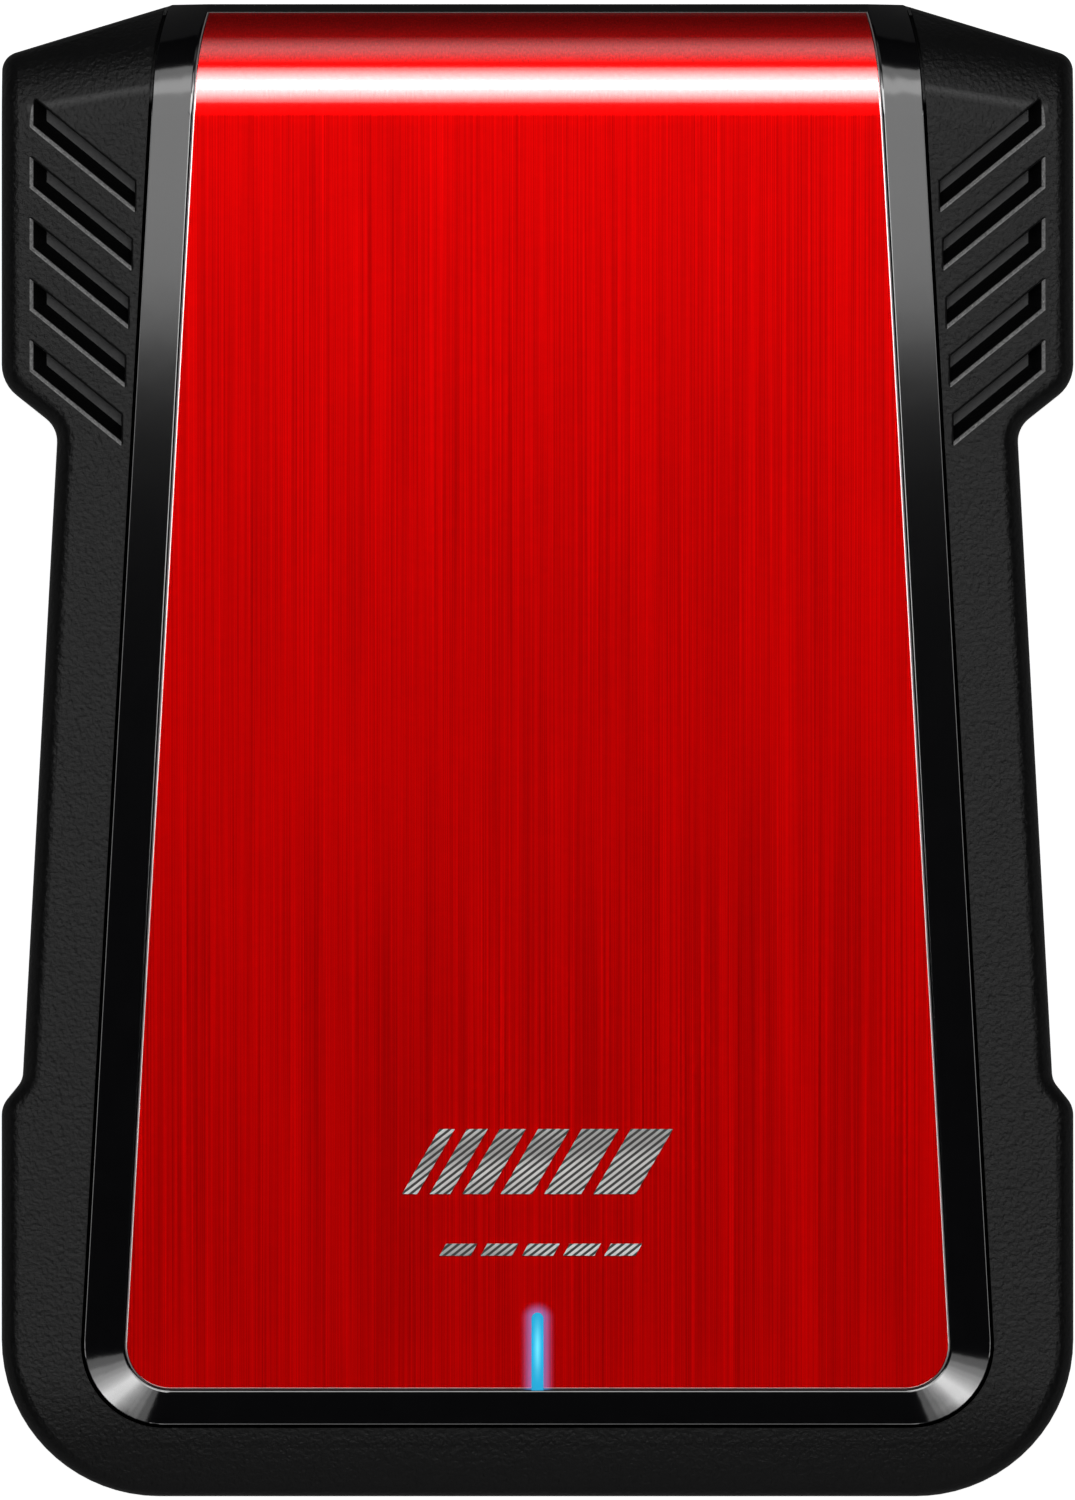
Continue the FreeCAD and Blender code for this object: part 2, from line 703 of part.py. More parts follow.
def cover_block():
    """The cover's outer form: the outline, bent down at both ends, with its top rim rounded."""
    block = prism(case_outline(), SEAM_Z + SEAM_GAP, WING_TOP)
    usb_fall = above_arc(END_ARC_Y, END_ARC_R, WING_TOP, -1)
    block = cut(block, wing_bend(1), wing_bend(-1), usb_fall)

    def top_rim(edge):
        low, high = slopes_beside(block, edge)
        return midpoint(edge).z > SEAM_Z + BEYOND and low < 1e-3 < high

    return rounded_edges(block, TOP_ROUND, top_rim)


def end_tongue():
    """The cover's end wall below the seam, at the curved end."""
    z1 = SEAM_Z + SEAM_GAP + LAP
    zone = box(-TONGUE_HALF, TONGUE_HALF, TONGUE_Y, HALF_L + BEYOND, 0, z1)
    return case_bottom(z1).common(zone).Solids[0]


def base_clearance():
    """Space in the cover for the base's USB end wall, open so that the cover can slide off it."""
    y0 = -HALF_L - BEYOND
    top = END_BLOCK_TOP + SEAM_GAP
    sides = box(-HALF_W - BEYOND, HALF_W + BEYOND, y0, END_BLOCK_Y + SEAM_GAP, 0, top)
    half = END_WALL_HALF + END_ROOM
    return sides.fuse(box(-half, half, y0, END_BLOCK_Y + CAVITY_START + BEYOND, 0, top))


def upper_shell():
    """Grained surround: the cover's wings, side walls, end wall, hooks and the deck under the bezel."""
    block = fuse(cover_block(), end_tongue())
    slots = [grip_slot(i) for i in range(SLOT_COUNT)]
    slots += [mirrored(slot) for slot in slots]
    block = cut(block, *slots)

    def slot_rim(edge):
        middle = midpoint(edge)
        low, high = slopes_beside(block, edge)
        in_grip = abs(middle.x) < SLOT_X1 + FIT and OUTLINE[3][1] - SLOT_PITCH < middle.y < SLOT_TOP_Y + FIT
        return in_grip and middle.z > WING_TOP - BEYOND and high > 0.9 and low < high - 0.1

    block = rounded_edges(block, SLOT_RIM, slot_rim)
    recess = prism(bezel_outline(TRIM_GAP), BEZEL_LIP_Z - FIT, 2 * HEIGHT).cut(under_crown(BEZEL_DECK + FIT))
    block = cut(block, recess, base_clearance(), cover_cavity(), lens_stem(STEM_CLEAR, 0, HEIGHT))
    block = cut(block, *pegs(PEG_R + FIT, CEILING - BEYOND))
    hooks = [hook(y) for y in HOOK_YS]
    hooks += [mirrored(one) for one in hooks]
    return fuse(block, *hooks, lock_rib())


def cover_foam():
    """Foam pad on the cover's ceiling over the drive."""
    return slab(-FOAM_HALF, FOAM_HALF, *FOAM_Y, DRIVE_TOP + COVER_FOAM_SLACK, CEILING, 2.0)


def leaning(x0, x1, y0, y1, lean):
    """A flat bar on the face plate whose ends lean."""
    z = HEIGHT
    corners = [Vector(x0, y0, z), Vector(x1, y0, z), Vector(x1 + lean, y1, z), Vector(x0 + lean, y1, z)]
    return Part.Face(Part.makePolygon(corners + corners[:1])).extrude(Vector(0, 0, EMBLEM_T))


def emblem():
    """Generic metal emblem: slanted bars that widen, over a row of short dashes."""
    y0, y1 = EMBLEM_Y
    x = -EMBLEM_HALF - EMBLEM_LEAN / 2
    weights = [1.0 + EMBLEM_GROWTH * i for i in range(EMBLEM_BARS)]
    free = 2 * EMBLEM_HALF - EMBLEM_GAP * (EMBLEM_BARS - 1)
    bars = []
    for weight in weights:
        width = free * weight / sum(weights)
        bars.append(leaning(x, x + width, y0, y1, EMBLEM_LEAN))
        x += width + EMBLEM_GAP
    width = (2 * DASH_HALF - DASH_GAP * (DASH_COUNT - 1)) / DASH_COUNT
    for i in range(DASH_COUNT):
        x0 = -DASH_HALF + i * (width + DASH_GAP)
        bars.append(leaning(x0, x0 + width, *DASH_Y, DASH_LEAN))
    return group(bars)


# Base

def base_tub():
    """The base's walls and floor: low at the sides, higher at the USB end, open at the curved end."""
    end = prism(case_outline(), SEAM_Z - LAP, END_BLOCK_TOP)
    end = end.common(box(-HALF_W, HALF_W, -HALF_L, END_BLOCK_Y, 0, HEIGHT)).Solids[0]
    block = fuse(case_bottom(SEAM_Z), end)
    pocket = prism(inset(case_outline(), WALL), FLOOR_TOP, SEAM_Z + BEYOND)
    end_pocket = box(-END_WALL_HALF, END_WALL_HALF, -HALF_L + WALL, 0, FLOOR_TOP, HEIGHT)
    half = TONGUE_HALF + SEAM_GAP
    rim = box(-half, half, TONGUE_Y, HALF_L + BEYOND, 0, HEIGHT)
    rim = rim.cut(prism(inset(case_outline(), WALL + SEAM_GAP), 0, HEIGHT))
    return cut(block, pocket, end_pocket, rim, port_opening())


def port_opening():
    """The opening in the end wall for the USB port."""
    half = USB_HALF + PORT_CLEAR
    opening = slab(-half, half, BOARD_TOP - PORT_CLEAR, USB_TOP + PORT_CLEAR, 0, 10.0, 0.5)
    opening.rotate(Vector(0, 0, 0), Vector(1, 0, 0), 90)
    opening.translate(Vector(0, -HALF_L + WALL + 3.0, 0))
    return opening


def lower_case():
    """Lower shell: floor, side walls, USB end wall, drive bay walls with rails, posts and ledges."""
    y0, y1 = BAY_Y
    z0 = FLOOR_TOP - LAP
    wall = box(BAY_HALF, BAY_HALF + BAY_WALL, y0, y1, z0, BAY_TOP)
    rail = box(BAY_HALF + BAY_WALL - LAP, BAY_HALF + BAY_WALL + RAIL_W, y0, y1, RAIL_Z0, BAY_TOP)
    ledge = box(*LEDGE_X, y0 + LEDGE_SHORT, y1, z0, DRIVE_Z0 - THREAD_FIT)
    inside = both(fuse(wall, rail)) + both(ledge)
    inside += [cylinder(x, y, z0, BOARD_Z0, BOARD_POST_R) for x, y in BOARD_SCREWS]
    inside += [cylinder(x, y, z0, LOCK_CAP_Z0, LOCK_POST_R) for x, y in lock_screw_spots()]
    block = fuse(base_tub(), *inside)
    board_r = M2_R + THREAD_FIT
    cap_r = LOCK_SCREW_R + THREAD_FIT
    holes = [cylinder(x, y, HOLE_START, HEIGHT, board_r) for x, y in BOARD_SCREWS]
    holes += [cylinder(x, y, HOLE_START, LOCK_CAP_Z0 + BEYOND, cap_r) for x, y in lock_screw_spots()]
    holes += [cylinder(x, y, 0, CASE_Z0 + FOOT_SEAT, FOOT_R + FIT) for x, y in FOOT_SPOTS]
    half = LOCK_PAD_HALF + LOCK_PLAY
    thumb = slab(LOCK_PLATE_X[0] - LOCK_PLAY, LOCK_PAD_X1 + LOCK_TRAVEL + LOCK_PLAY,
                 LOCK_Y - half, LOCK_Y + half, 0, FLOOR_TOP + LAP, 2 * LOCK_PLAY)
    return cut(block, *holes, thumb)


def rubber_feet():
    """Four round feet in recesses under the base."""
    feet = []
    for x, y in FOOT_SPOTS:
        foot = cylinder(x, y, 0, CASE_Z0 + FOOT_SEAT, FOOT_R)
        feet.append(rounded_edges(foot, FOOT_ROUND, lambda edge: edge.BoundBox.ZMax < 1e-3))
    return group(feet)


def base_foam():
    """Foam pad on the floor under the drive."""
    return slab(-FOAM_HALF, FOAM_HALF, *FOAM_Y, FLOOR_TOP, DRIVE_Z0 - FOAM_SLACK, 2.0)


# Lock

def lock_screw_spots():
    """Places of the two screws that hold the lock's cap."""
    return [(LOCK_SCREW_X, LOCK_Y - LOCK_SCREW_HALF), (LOCK_SCREW_X, LOCK_Y + LOCK_SCREW_HALF)]


def lock_slider():
    """Sliding lock: a thumb pad under the floor, a plate over it, a post and a tongue."""
    half = LOCK_PLATE_HALF
    plate = box(*LOCK_PLATE_X, LOCK_Y - half, LOCK_Y + half, FLOOR_TOP + FIT, LOCK_CAP_Z0 - FIT)
    half = LOCK_PAD_HALF
    pad = slab(LOCK_PLATE_X[0], LOCK_PAD_X1, LOCK_Y - half, LOCK_Y + half, LOCK_PAD_Z0, FLOOR_TOP + LAP, 0.5)
    x0, x1 = LOCK_POST_X
    y0 = LOCK_Y - LOCK_POST_HALF
    y1 = LOCK_Y + LOCK_POST_HALF
    post = box(x0, x1, y0, y1, LOCK_CAP_Z0 - LAP, LOCK_TONGUE_Z[1])
    tongue = box(x0, LOCK_TONGUE_X1, y0, y1, *LOCK_TONGUE_Z)
    grooves = []
    for i in range(LOCK_GROOVES):
        x = LOCK_PLATE_X[0] + 0.6 + LOCK_GROOVE_PITCH * i
        grooves.append(box(x, x + LOCK_GROOVE, LOCK_Y - 1.5, LOCK_Y + 1.5, 0, LOCK_PAD_Z0 + 0.3))
    return cut(fuse(plate, pad, post, tongue), *grooves)


def lock_cap():
    """Small plate screwed over the lock slider, with a slot for its post."""
    half = LOCK_CAP_HALF
    cap = slab(*LOCK_CAP_X, LOCK_Y - half, LOCK_Y + half, LOCK_CAP_Z0, LOCK_CAP_Z0 + LOCK_CAP_T, 0.8)
    feet = []
    for y in (LOCK_Y - 3.5, LOCK_Y + 3.5):
        feet.append(box(LOCK_PLATE_X[0] - 0.2, LOCK_CAP_X[1] - 0.5, y - 0.3, y + 0.3,
                        FLOOR_TOP, LOCK_CAP_Z0 + LAP))
    half = LOCK_POST_HALF + LOCK_PLAY
    slot = box(LOCK_POST_X[0] - LOCK_PLAY, LOCK_POST_X[1] + LOCK_TRAVEL + LOCK_PLAY,
               LOCK_Y - half, LOCK_Y + half, 0, HEIGHT)
    holes = [cylinder(x, y, 0, HEIGHT, LOCK_SCREW_R + 2 * FIT) for x, y in lock_screw_spots()]
    return cut(fuse(cap, *feet), slot, *holes)


def screw(x, y, seat_z, length, shank_r, head_r, head_h):
    """Pan-head screw pointing down, with a crossed recess."""
    head = cylinder(x, y, seat_z, seat_z + head_h, head_r)
    head = rounded_edges(head, 0.3 * head_h, lambda edge: edge.BoundBox.ZMin > seat_z + head_h - 1e-3)
    shank = cylinder(x, y, seat_z - length, seat_z + 0.1, shank_r)
    arm = 0.62 * head_r
    thin = 0.16 * head_r
    low = seat_z + 0.4 * head_h
    high = seat_z + 2 * head_h
    cross = box(x - arm, x + arm, y - thin, y + thin, low, high)
    other = box(x - thin, x + thin, y - arm, y + arm, low, high)
    return cut(fuse(head, shank), cross, other)


def lock_screws():
    """Two small screws that hold the lock's cap."""
    seat = LOCK_CAP_Z0 + LOCK_CAP_T
    return group([screw(x, y, seat, 2.6, LOCK_SCREW_R, 1.4, 0.7) for x, y in lock_screw_spots()])


def board_screws():
    """Four pan-head screws that hold the bridge board on its posts."""
    return group([screw(x, y, BOARD_TOP, M2_LENGTH, M2_R, M2_HEAD_R, M2_HEAD_H) for x, y in BOARD_SCREWS])


# Bridge board

def bridge_board():
    """Circuit board that joins the drive's connector to the USB port."""
    board = slab(-BOARD_HALF, BOARD_HALF, *BOARD_Y, BOARD_Z0, BOARD_TOP, 1.0)
    holes = [cylinder(x, y, 0, HEIGHT, M2_R + 2 * FIT) for x, y in BOARD_SCREWS]
    return cut(board, *holes)


def chip(x, y, width, length, height, z=BOARD_TOP):
    """Moulded chip package with a pin-one dimple."""
    body = slab(x - width / 2, x + width / 2, y - length / 2, y + length / 2, z, z + height, 0.2)
    dot = cylinder(x - width / 2 + 1.0, y + length / 2 - 1.0, z + height - 0.08, z + height + 1, 0.35)
    return cut(body, dot)


def bridge_chip():
    """Bridge controller."""
    return chip(*BRIDGE_CHIP)


def flash_config_chip():
    """Small memory chip for the bridge's firmware."""
    return chip(*CONFIG_CHIP)


def crystal():
    """Metal-can crystal beside the bridge chip."""
    return slab(*CRYSTAL_X, *CRYSTAL_Y, BOARD_TOP, BOARD_TOP + 0.8, 0.3)


def inductors():
    """Two power inductors."""
    coils = []
    half = INDUCTOR_HALF
    top = BOARD_TOP + INDUCTOR_H
    for x, y in INDUCTOR_SPOTS:
        body = slab(x - half, x + half, y - half, y + half, BOARD_TOP, top, 0.7)
        coils.append(cut(body, cylinder(x, y, top - 0.1, top + BEYOND, 0.7 * half)))
    return group(coils)


def capacitors():
    """Chip capacitors in a row and a column on the board."""
    length, width, height = CAPACITOR
    z1 = BOARD_TOP + height
    parts = []
    x0, y0, pitch, count = CAPACITOR_ROW
    for i in range(count):
        x = x0 + pitch * i
        parts.append(box(x, x + length, y0, y0 + width, BOARD_TOP, z1))
    x0, y0, pitch, count = CAPACITOR_COLUMN
    for i in range(count):
        y = y0 + pitch * i
        parts.append(box(x0, x0 + width, y, y + length, BOARD_TOP, z1))
    return group(parts)


def status_led():
    """Lamp on the board under the light pipe."""
    y0, y1 = LAMP_Y
    half = LAMP_HALF
    lamp = box(-half, half, y0, y1, BOARD_TOP, BOARD_TOP + 0.35)
    half = LAMP_HALF - 0.25
    dome = slab(-half, half, y0 + 0.4, y1 - 0.4, BOARD_TOP + 0.3, BOARD_TOP + 0.8, 0.4)
    return fuse(lamp, dome)


def usb_cells():
    """The port's two openings, wide and narrow, as (x0, x1)."""
    inner = USB_HALF - USB_SHEET
    half = USB_DIVIDER / 2
    return (-inner, USB_SPLIT_X - half), (USB_SPLIT_X + half, inner)


def usb_receptacle():
    """Folded steel shell of the port, with two openings side by side."""
    y0, y1 = USB_Y
    shell = box(-USB_HALF, USB_HALF, y0, y1, BOARD_TOP, USB_TOP)
    shell = rounded_edges(shell, 0.5, lambda edge: edge.BoundBox.YLength > 5)
    z0 = BOARD_TOP + USB_SHEET
    z1 = USB_TOP - USB_SHEET
    return cut(shell, *[box(a, b, y0 - BEYOND, y1 - USB_BACK, z0, z1) for a, b in usb_cells()])


def usb_tongues():
    """Plastic tongues inside the port."""
    z = (BOARD_TOP + USB_TOP) / 2
    y0, y1 = USB_Y
    return group([box(a + 0.9, b - 0.9, y0 + 0.8, y1 - USB_BACK, z - 0.3, z + 0.3) for a, b in usb_cells()])


def usb_contacts():
    """Gold contacts on the tongues' undersides."""
    z = (BOARD_TOP + USB_TOP) / 2 - 0.3
    y0, y1 = USB_Y
    half = 0.13
    margin = 1.3
    strips = []
    for a, b in usb_cells():
        step = (b - a - 2 * margin) / (USB_CONTACTS - 1)
        for i in range(USB_CONTACTS):
            x = a + margin + step * i
            strips.append(box(x - half, x + half, y0 + 1.1, y1 - USB_BACK - 0.4, z - 0.08, z))
    return group(strips)


def sata_well(start, end, grow):
    """The key-shaped space that one tongue of the drive's connector fills, grown all round."""
    z0, z1 = SATA_TONGUE_Z
    x0 = SATA_X + start - grow
    x1 = SATA_X + end + grow
    y0 = SATA_TONGUE_Y[0] - grow
    y1 = SATA_TONGUE_Y[1] + grow
    bar = box(x0, x1, y0, y1, z0 - grow, z1 + grow)
    key = box(x1 - SATA_KEY - 2 * grow, x1, y0, y1, z0 - SATA_KEY_DROP - grow, z1)
    return fuse(bar, key)


def contact_xs(start, end, count):
    """Middles of the contacts across one tongue."""
    middle = SATA_X + (start + end) / 2 - 0.3
    return [middle + SATA_PITCH * (i - (count - 1) / 2) for i in range(count)]


def sata_receptacle():
    """Board-mounted connector that the drive's connector pushes into."""
    y0, y1 = SATA_Y
    x0 = SATA_X - SATA_HALF
    x1 = SATA_X + SATA_HALF
    snout = box(x0, x1, y0, y1, *SATA_Z)
    snout = rounded_edges(snout, 0.4, lambda edge: edge.BoundBox.YMin > y1 - 1e-3)
    foot = box(x0, x1, y0, BOARD_Y[1] - LAP, BOARD_TOP, SATA_Z[0] + LAP)
    spaces = [sata_well(start, end, SATA_PLAY) for start, end, _ in SATA_TONGUES]
    z = SATA_TONGUE_Z[1]
    for row in SATA_TONGUES:
        xs = contact_xs(*row)
        spaces.append(box(xs[0] - 0.5, xs[-1] + 0.5, DRIVE_Y0 - 0.3, y1 + BEYOND, z, z + CONTACT_GROOVE))
    return cut(fuse(snout, foot), *spaces)


def sata_receptacle_contacts():
    """Gold springs in the receptacle's wells, and its solder legs behind."""
    y0, y1 = SATA_Y
    top = SATA_TONGUE_Z[1] + CONTACT_GROOVE
    half = CONTACT_W / 2
    strips = []
    for row in SATA_TONGUES:
        for x in contact_xs(*row):
            strips.append(box(x - half, x + half, DRIVE_Y0 - 0.2, y1 - 0.6, top - SPRING_T, top))
            strips.append(box(x - half, x + half, y0 - 1.2, y0, BOARD_TOP, BOARD_TOP + 0.3))
    return group(strips)


# Drive

def drive_corners(z0, z1, shrink=0.0, radius=2.0):
    """The drive's outline as a block, shrunk all round."""
    half = DRIVE_HALF - shrink
    return slab(-half, half, DRIVE_Y0 + shrink, DRIVE_Y1 - shrink, z0, z1, max(radius - shrink, 0.5))


def lid_screw_spots():
    """Corners where the drive's lid is screwed down."""
    ys = (DRIVE_Y0 + LID_SCREW_Y_IN, DRIVE_Y1 - LID_SCREW_Y_IN)
    return [(x, y) for x in (LID_SCREW_X, -LID_SCREW_X) for y in ys]


def drive_mouth():
    """Opening in the drive's end for its connector."""
    half = SATA_HALF + 0.4
    z0, z1 = SATA_Z
    return box(SATA_X - half, SATA_X + half, DRIVE_Y0 - BEYOND, SATA_BACK_Y1, z0 - 0.25, z1 + 0.25)


def drive_lower_housing():
    """Cast tray of the drive, with bosses for its mounting holes and lid screws."""
    lid_z = DRIVE_TOP - DRIVE_LID_T
    floor_z = DRIVE_Z0 + TRAY_FLOOR
    tray = cut(drive_corners(DRIVE_Z0, lid_z), drive_corners(floor_z, lid_z + BEYOND, DRIVE_WALL))
    z0 = floor_z - LAP
    half = BOSS / 2
    bosses = [cylinder(x, y, z0, lid_z, LID_BOSS_R) for x, y in lid_screw_spots()]
    holes = [drive_mouth()]
    for y in MOUNT_YS:
        bosses += both(box(MOUNT_HALF - half, DRIVE_HALF - DRIVE_WALL / 2, y - half, y + half, z0, BOSS_TOP))
        holes += both(cylinder(MOUNT_HALF, y, 0, DRIVE_Z0 + 2.5, M3_TAP_R))
        start = Vector(DRIVE_HALF - 2.5, y, DRIVE_Z0 + SIDE_HOLE_UP)
        holes += both(Part.makeCylinder(M3_TAP_R, 2.5 + BEYOND, start, Vector(1, 0, 0)))
    holes += [cylinder(x, y, lid_z - 3.2, HEIGHT, DRIVE_SCREW_R + THREAD_FIT) for x, y in lid_screw_spots()]
    return cut(fuse(tray, *bosses), *holes)


def drive_upper_housing():
    """Flat lid of the drive, with sunk screw holes."""
    lid_z = DRIVE_TOP - DRIVE_LID_T
    lid = drive_corners(lid_z, DRIVE_TOP)
    lid = rounded_edges(lid, 0.3, lambda edge: edge.BoundBox.ZMin > DRIVE_TOP - 1e-3)
    holes = []
    for x, y in lid_screw_spots():
        holes.append(cylinder(x, y, 0, HEIGHT, DRIVE_SCREW_R + 2 * FIT))
        holes.append(cylinder(x, y, lid_z + LID_SEAT, HEIGHT, DRIVE_HEAD_R + 2 * FIT))
    return cut(lid, *holes)


def drive_screws():
    """Four screws that close the drive."""
    seat = DRIVE_TOP - DRIVE_LID_T + LID_SEAT
    return group([screw(x, y, seat, 3.0, DRIVE_SCREW_R, DRIVE_HEAD_R, 0.5) for x, y in lid_screw_spots()])


def drive_board():
    """The drive's own circuit board, on the tray's bosses."""
    half = DRIVE_BOARD_HALF
    board = slab(-half, half, SATA_BACK_Y1 + 0.1, DRIVE_BOARD_Y1, *DRIVE_BOARD_Z, 0.8)
    gap = BOSS / 2 + LAP
    y = MOUNT_YS[0]
    return cut(board, *both(box(MOUNT_HALF - gap, DRIVE_HALF, y - gap, y + gap, 0, HEIGHT)))


def drive_controller():
    """The drive's controller chip."""
    return chip(*CONTROLLER, DRIVE_BOARD_Z[1])


def dram_chip():
    """Buffer memory chip."""
    return chip(*DRAM, DRIVE_BOARD_Z[1])


def flash_chips():
    """Four flash memory chips."""
    return group([chip(x, y, *FLASH_SIZE, DRIVE_BOARD_Z[1]) for x in FLASH_XS for y in FLASH_YS])


def thermal_pad():
    """Soft pad that carries the controller's heat to the lid."""
    x, y, width, length, height = CONTROLLER
    half_x = width / 2 - PAD_IN
    half_y = length / 2 - PAD_IN
    z0 = DRIVE_BOARD_Z[1] + height
    return box(x - half_x, x + half_x, y - half_y, y + half_y, z0, DRIVE_TOP - DRIVE_LID_T)


def sata_plug():
    """The drive's connector: two keyed tongues on a back block."""
    back = box(SATA_X - SATA_HALF, SATA_X + SATA_HALF, SATA_TONGUE_Y[1] - 0.1, SATA_BACK_Y1, *SATA_Z)
    return fuse(back, *[sata_well(start, end, 0) for start, end, _ in SATA_TONGUES])


def sata_plug_contacts():
    """Gold pads along the tongues' upper faces."""
    pads = []
    y0, y1 = SATA_TONGUE_Y
    top = SATA_TONGUE_Z[1]
    half = CONTACT_W / 2
    for row in SATA_TONGUES:
        for x in contact_xs(*row):
            pads.append(box(x - half, x + half, y0 + 0.5, y1 - 0.2, top, top + CONTACT_T))
    return group(pads)


def drive_label():
    """Plain sticker on the drive's lid."""
    return slab(-LABEL_HALF, LABEL_HALF, *LABEL_Y, DRIVE_TOP, DRIVE_TOP + LABEL_T, 1.5)


NODES = [
    upper_shell, gloss_bezel, plate_adhesive, face_plate, light_pipe, emblem, cover_foam,
    lower_case, rubber_feet, base_foam, lock_slider, lock_cap, lock_screws,
    bridge_board, board_screws, bridge_chip, flash_config_chip, crystal, inductors, capacitors, status_led,
    usb_receptacle, usb_tongues, usb_contacts, sata_receptacle, sata_receptacle_contacts,
    drive_lower_housing, drive_upper_housing, drive_screws, drive_board, drive_controller, dram_chip,
    flash_chips, thermal_pad, sata_plug, sata_plug_contacts, drive_label,
]


def main():
    """Builds every piece and writes it to its own file."""
    os.makedirs("parts", exist_ok=True)
    for make in NODES:
        shape = make()
        if not shape.isValid():
            raise ValueError("invalid shape: " + make.__name__)
        shape.exportStep("parts/%s.step" % make.__name__)
        print(make.__name__, len(shape.Solids), round(shape.Volume, 2))


main()
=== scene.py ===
"""Looks of the portable solid state drive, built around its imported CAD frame."""

import json
import math
import random

import bmesh
import bpy
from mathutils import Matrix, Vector


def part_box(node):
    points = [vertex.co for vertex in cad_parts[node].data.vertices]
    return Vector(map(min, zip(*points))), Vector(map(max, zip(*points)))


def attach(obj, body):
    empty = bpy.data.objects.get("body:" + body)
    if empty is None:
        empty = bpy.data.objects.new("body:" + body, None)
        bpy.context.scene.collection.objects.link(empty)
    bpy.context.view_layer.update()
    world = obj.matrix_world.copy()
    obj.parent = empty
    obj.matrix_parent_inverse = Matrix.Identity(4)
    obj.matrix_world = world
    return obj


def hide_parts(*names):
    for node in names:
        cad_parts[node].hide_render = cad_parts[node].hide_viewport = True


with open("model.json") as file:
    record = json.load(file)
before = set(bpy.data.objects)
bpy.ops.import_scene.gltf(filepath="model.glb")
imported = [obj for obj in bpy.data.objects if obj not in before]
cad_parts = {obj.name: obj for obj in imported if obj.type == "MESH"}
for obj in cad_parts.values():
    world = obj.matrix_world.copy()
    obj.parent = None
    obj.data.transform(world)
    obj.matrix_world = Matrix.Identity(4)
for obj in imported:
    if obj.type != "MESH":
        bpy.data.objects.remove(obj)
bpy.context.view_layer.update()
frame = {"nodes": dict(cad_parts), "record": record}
NODES = frame["nodes"]
MM = 0.001

# Indicator lens, set in the face plate's USB end
LENS_HALF = 0.5 * MM
LENS_LENGTH = 7.0 * MM
LENS_Y0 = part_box("face_plate")[0].y
LENS_Y1 = LENS_Y0 + LENS_LENGTH
GLOW_REACH = 1.3 * MM

# Grip slots and the groove round the gloss trim, in the cover's top
SHELL_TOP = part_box("upper_shell")[1].z
SLOT_DEPTH = 1.8 * MM
GROOVE_DEPTH = 0.75 * MM
GRIP_Y0 = 26.0 * MM       # the slots lie past this, towards the curved end
GRIP_X1 = 46.3 * MM       # and within this, each side
BLEND = 0.1 * MM          # width over which one painted area gives way to the next
# The way that the slot rims with painted highlights face: share away from the middle line, share towards
# the curved end
RIM_HIGHLIGHT_FACING = (-0.63, 0.775)


# Node helpers

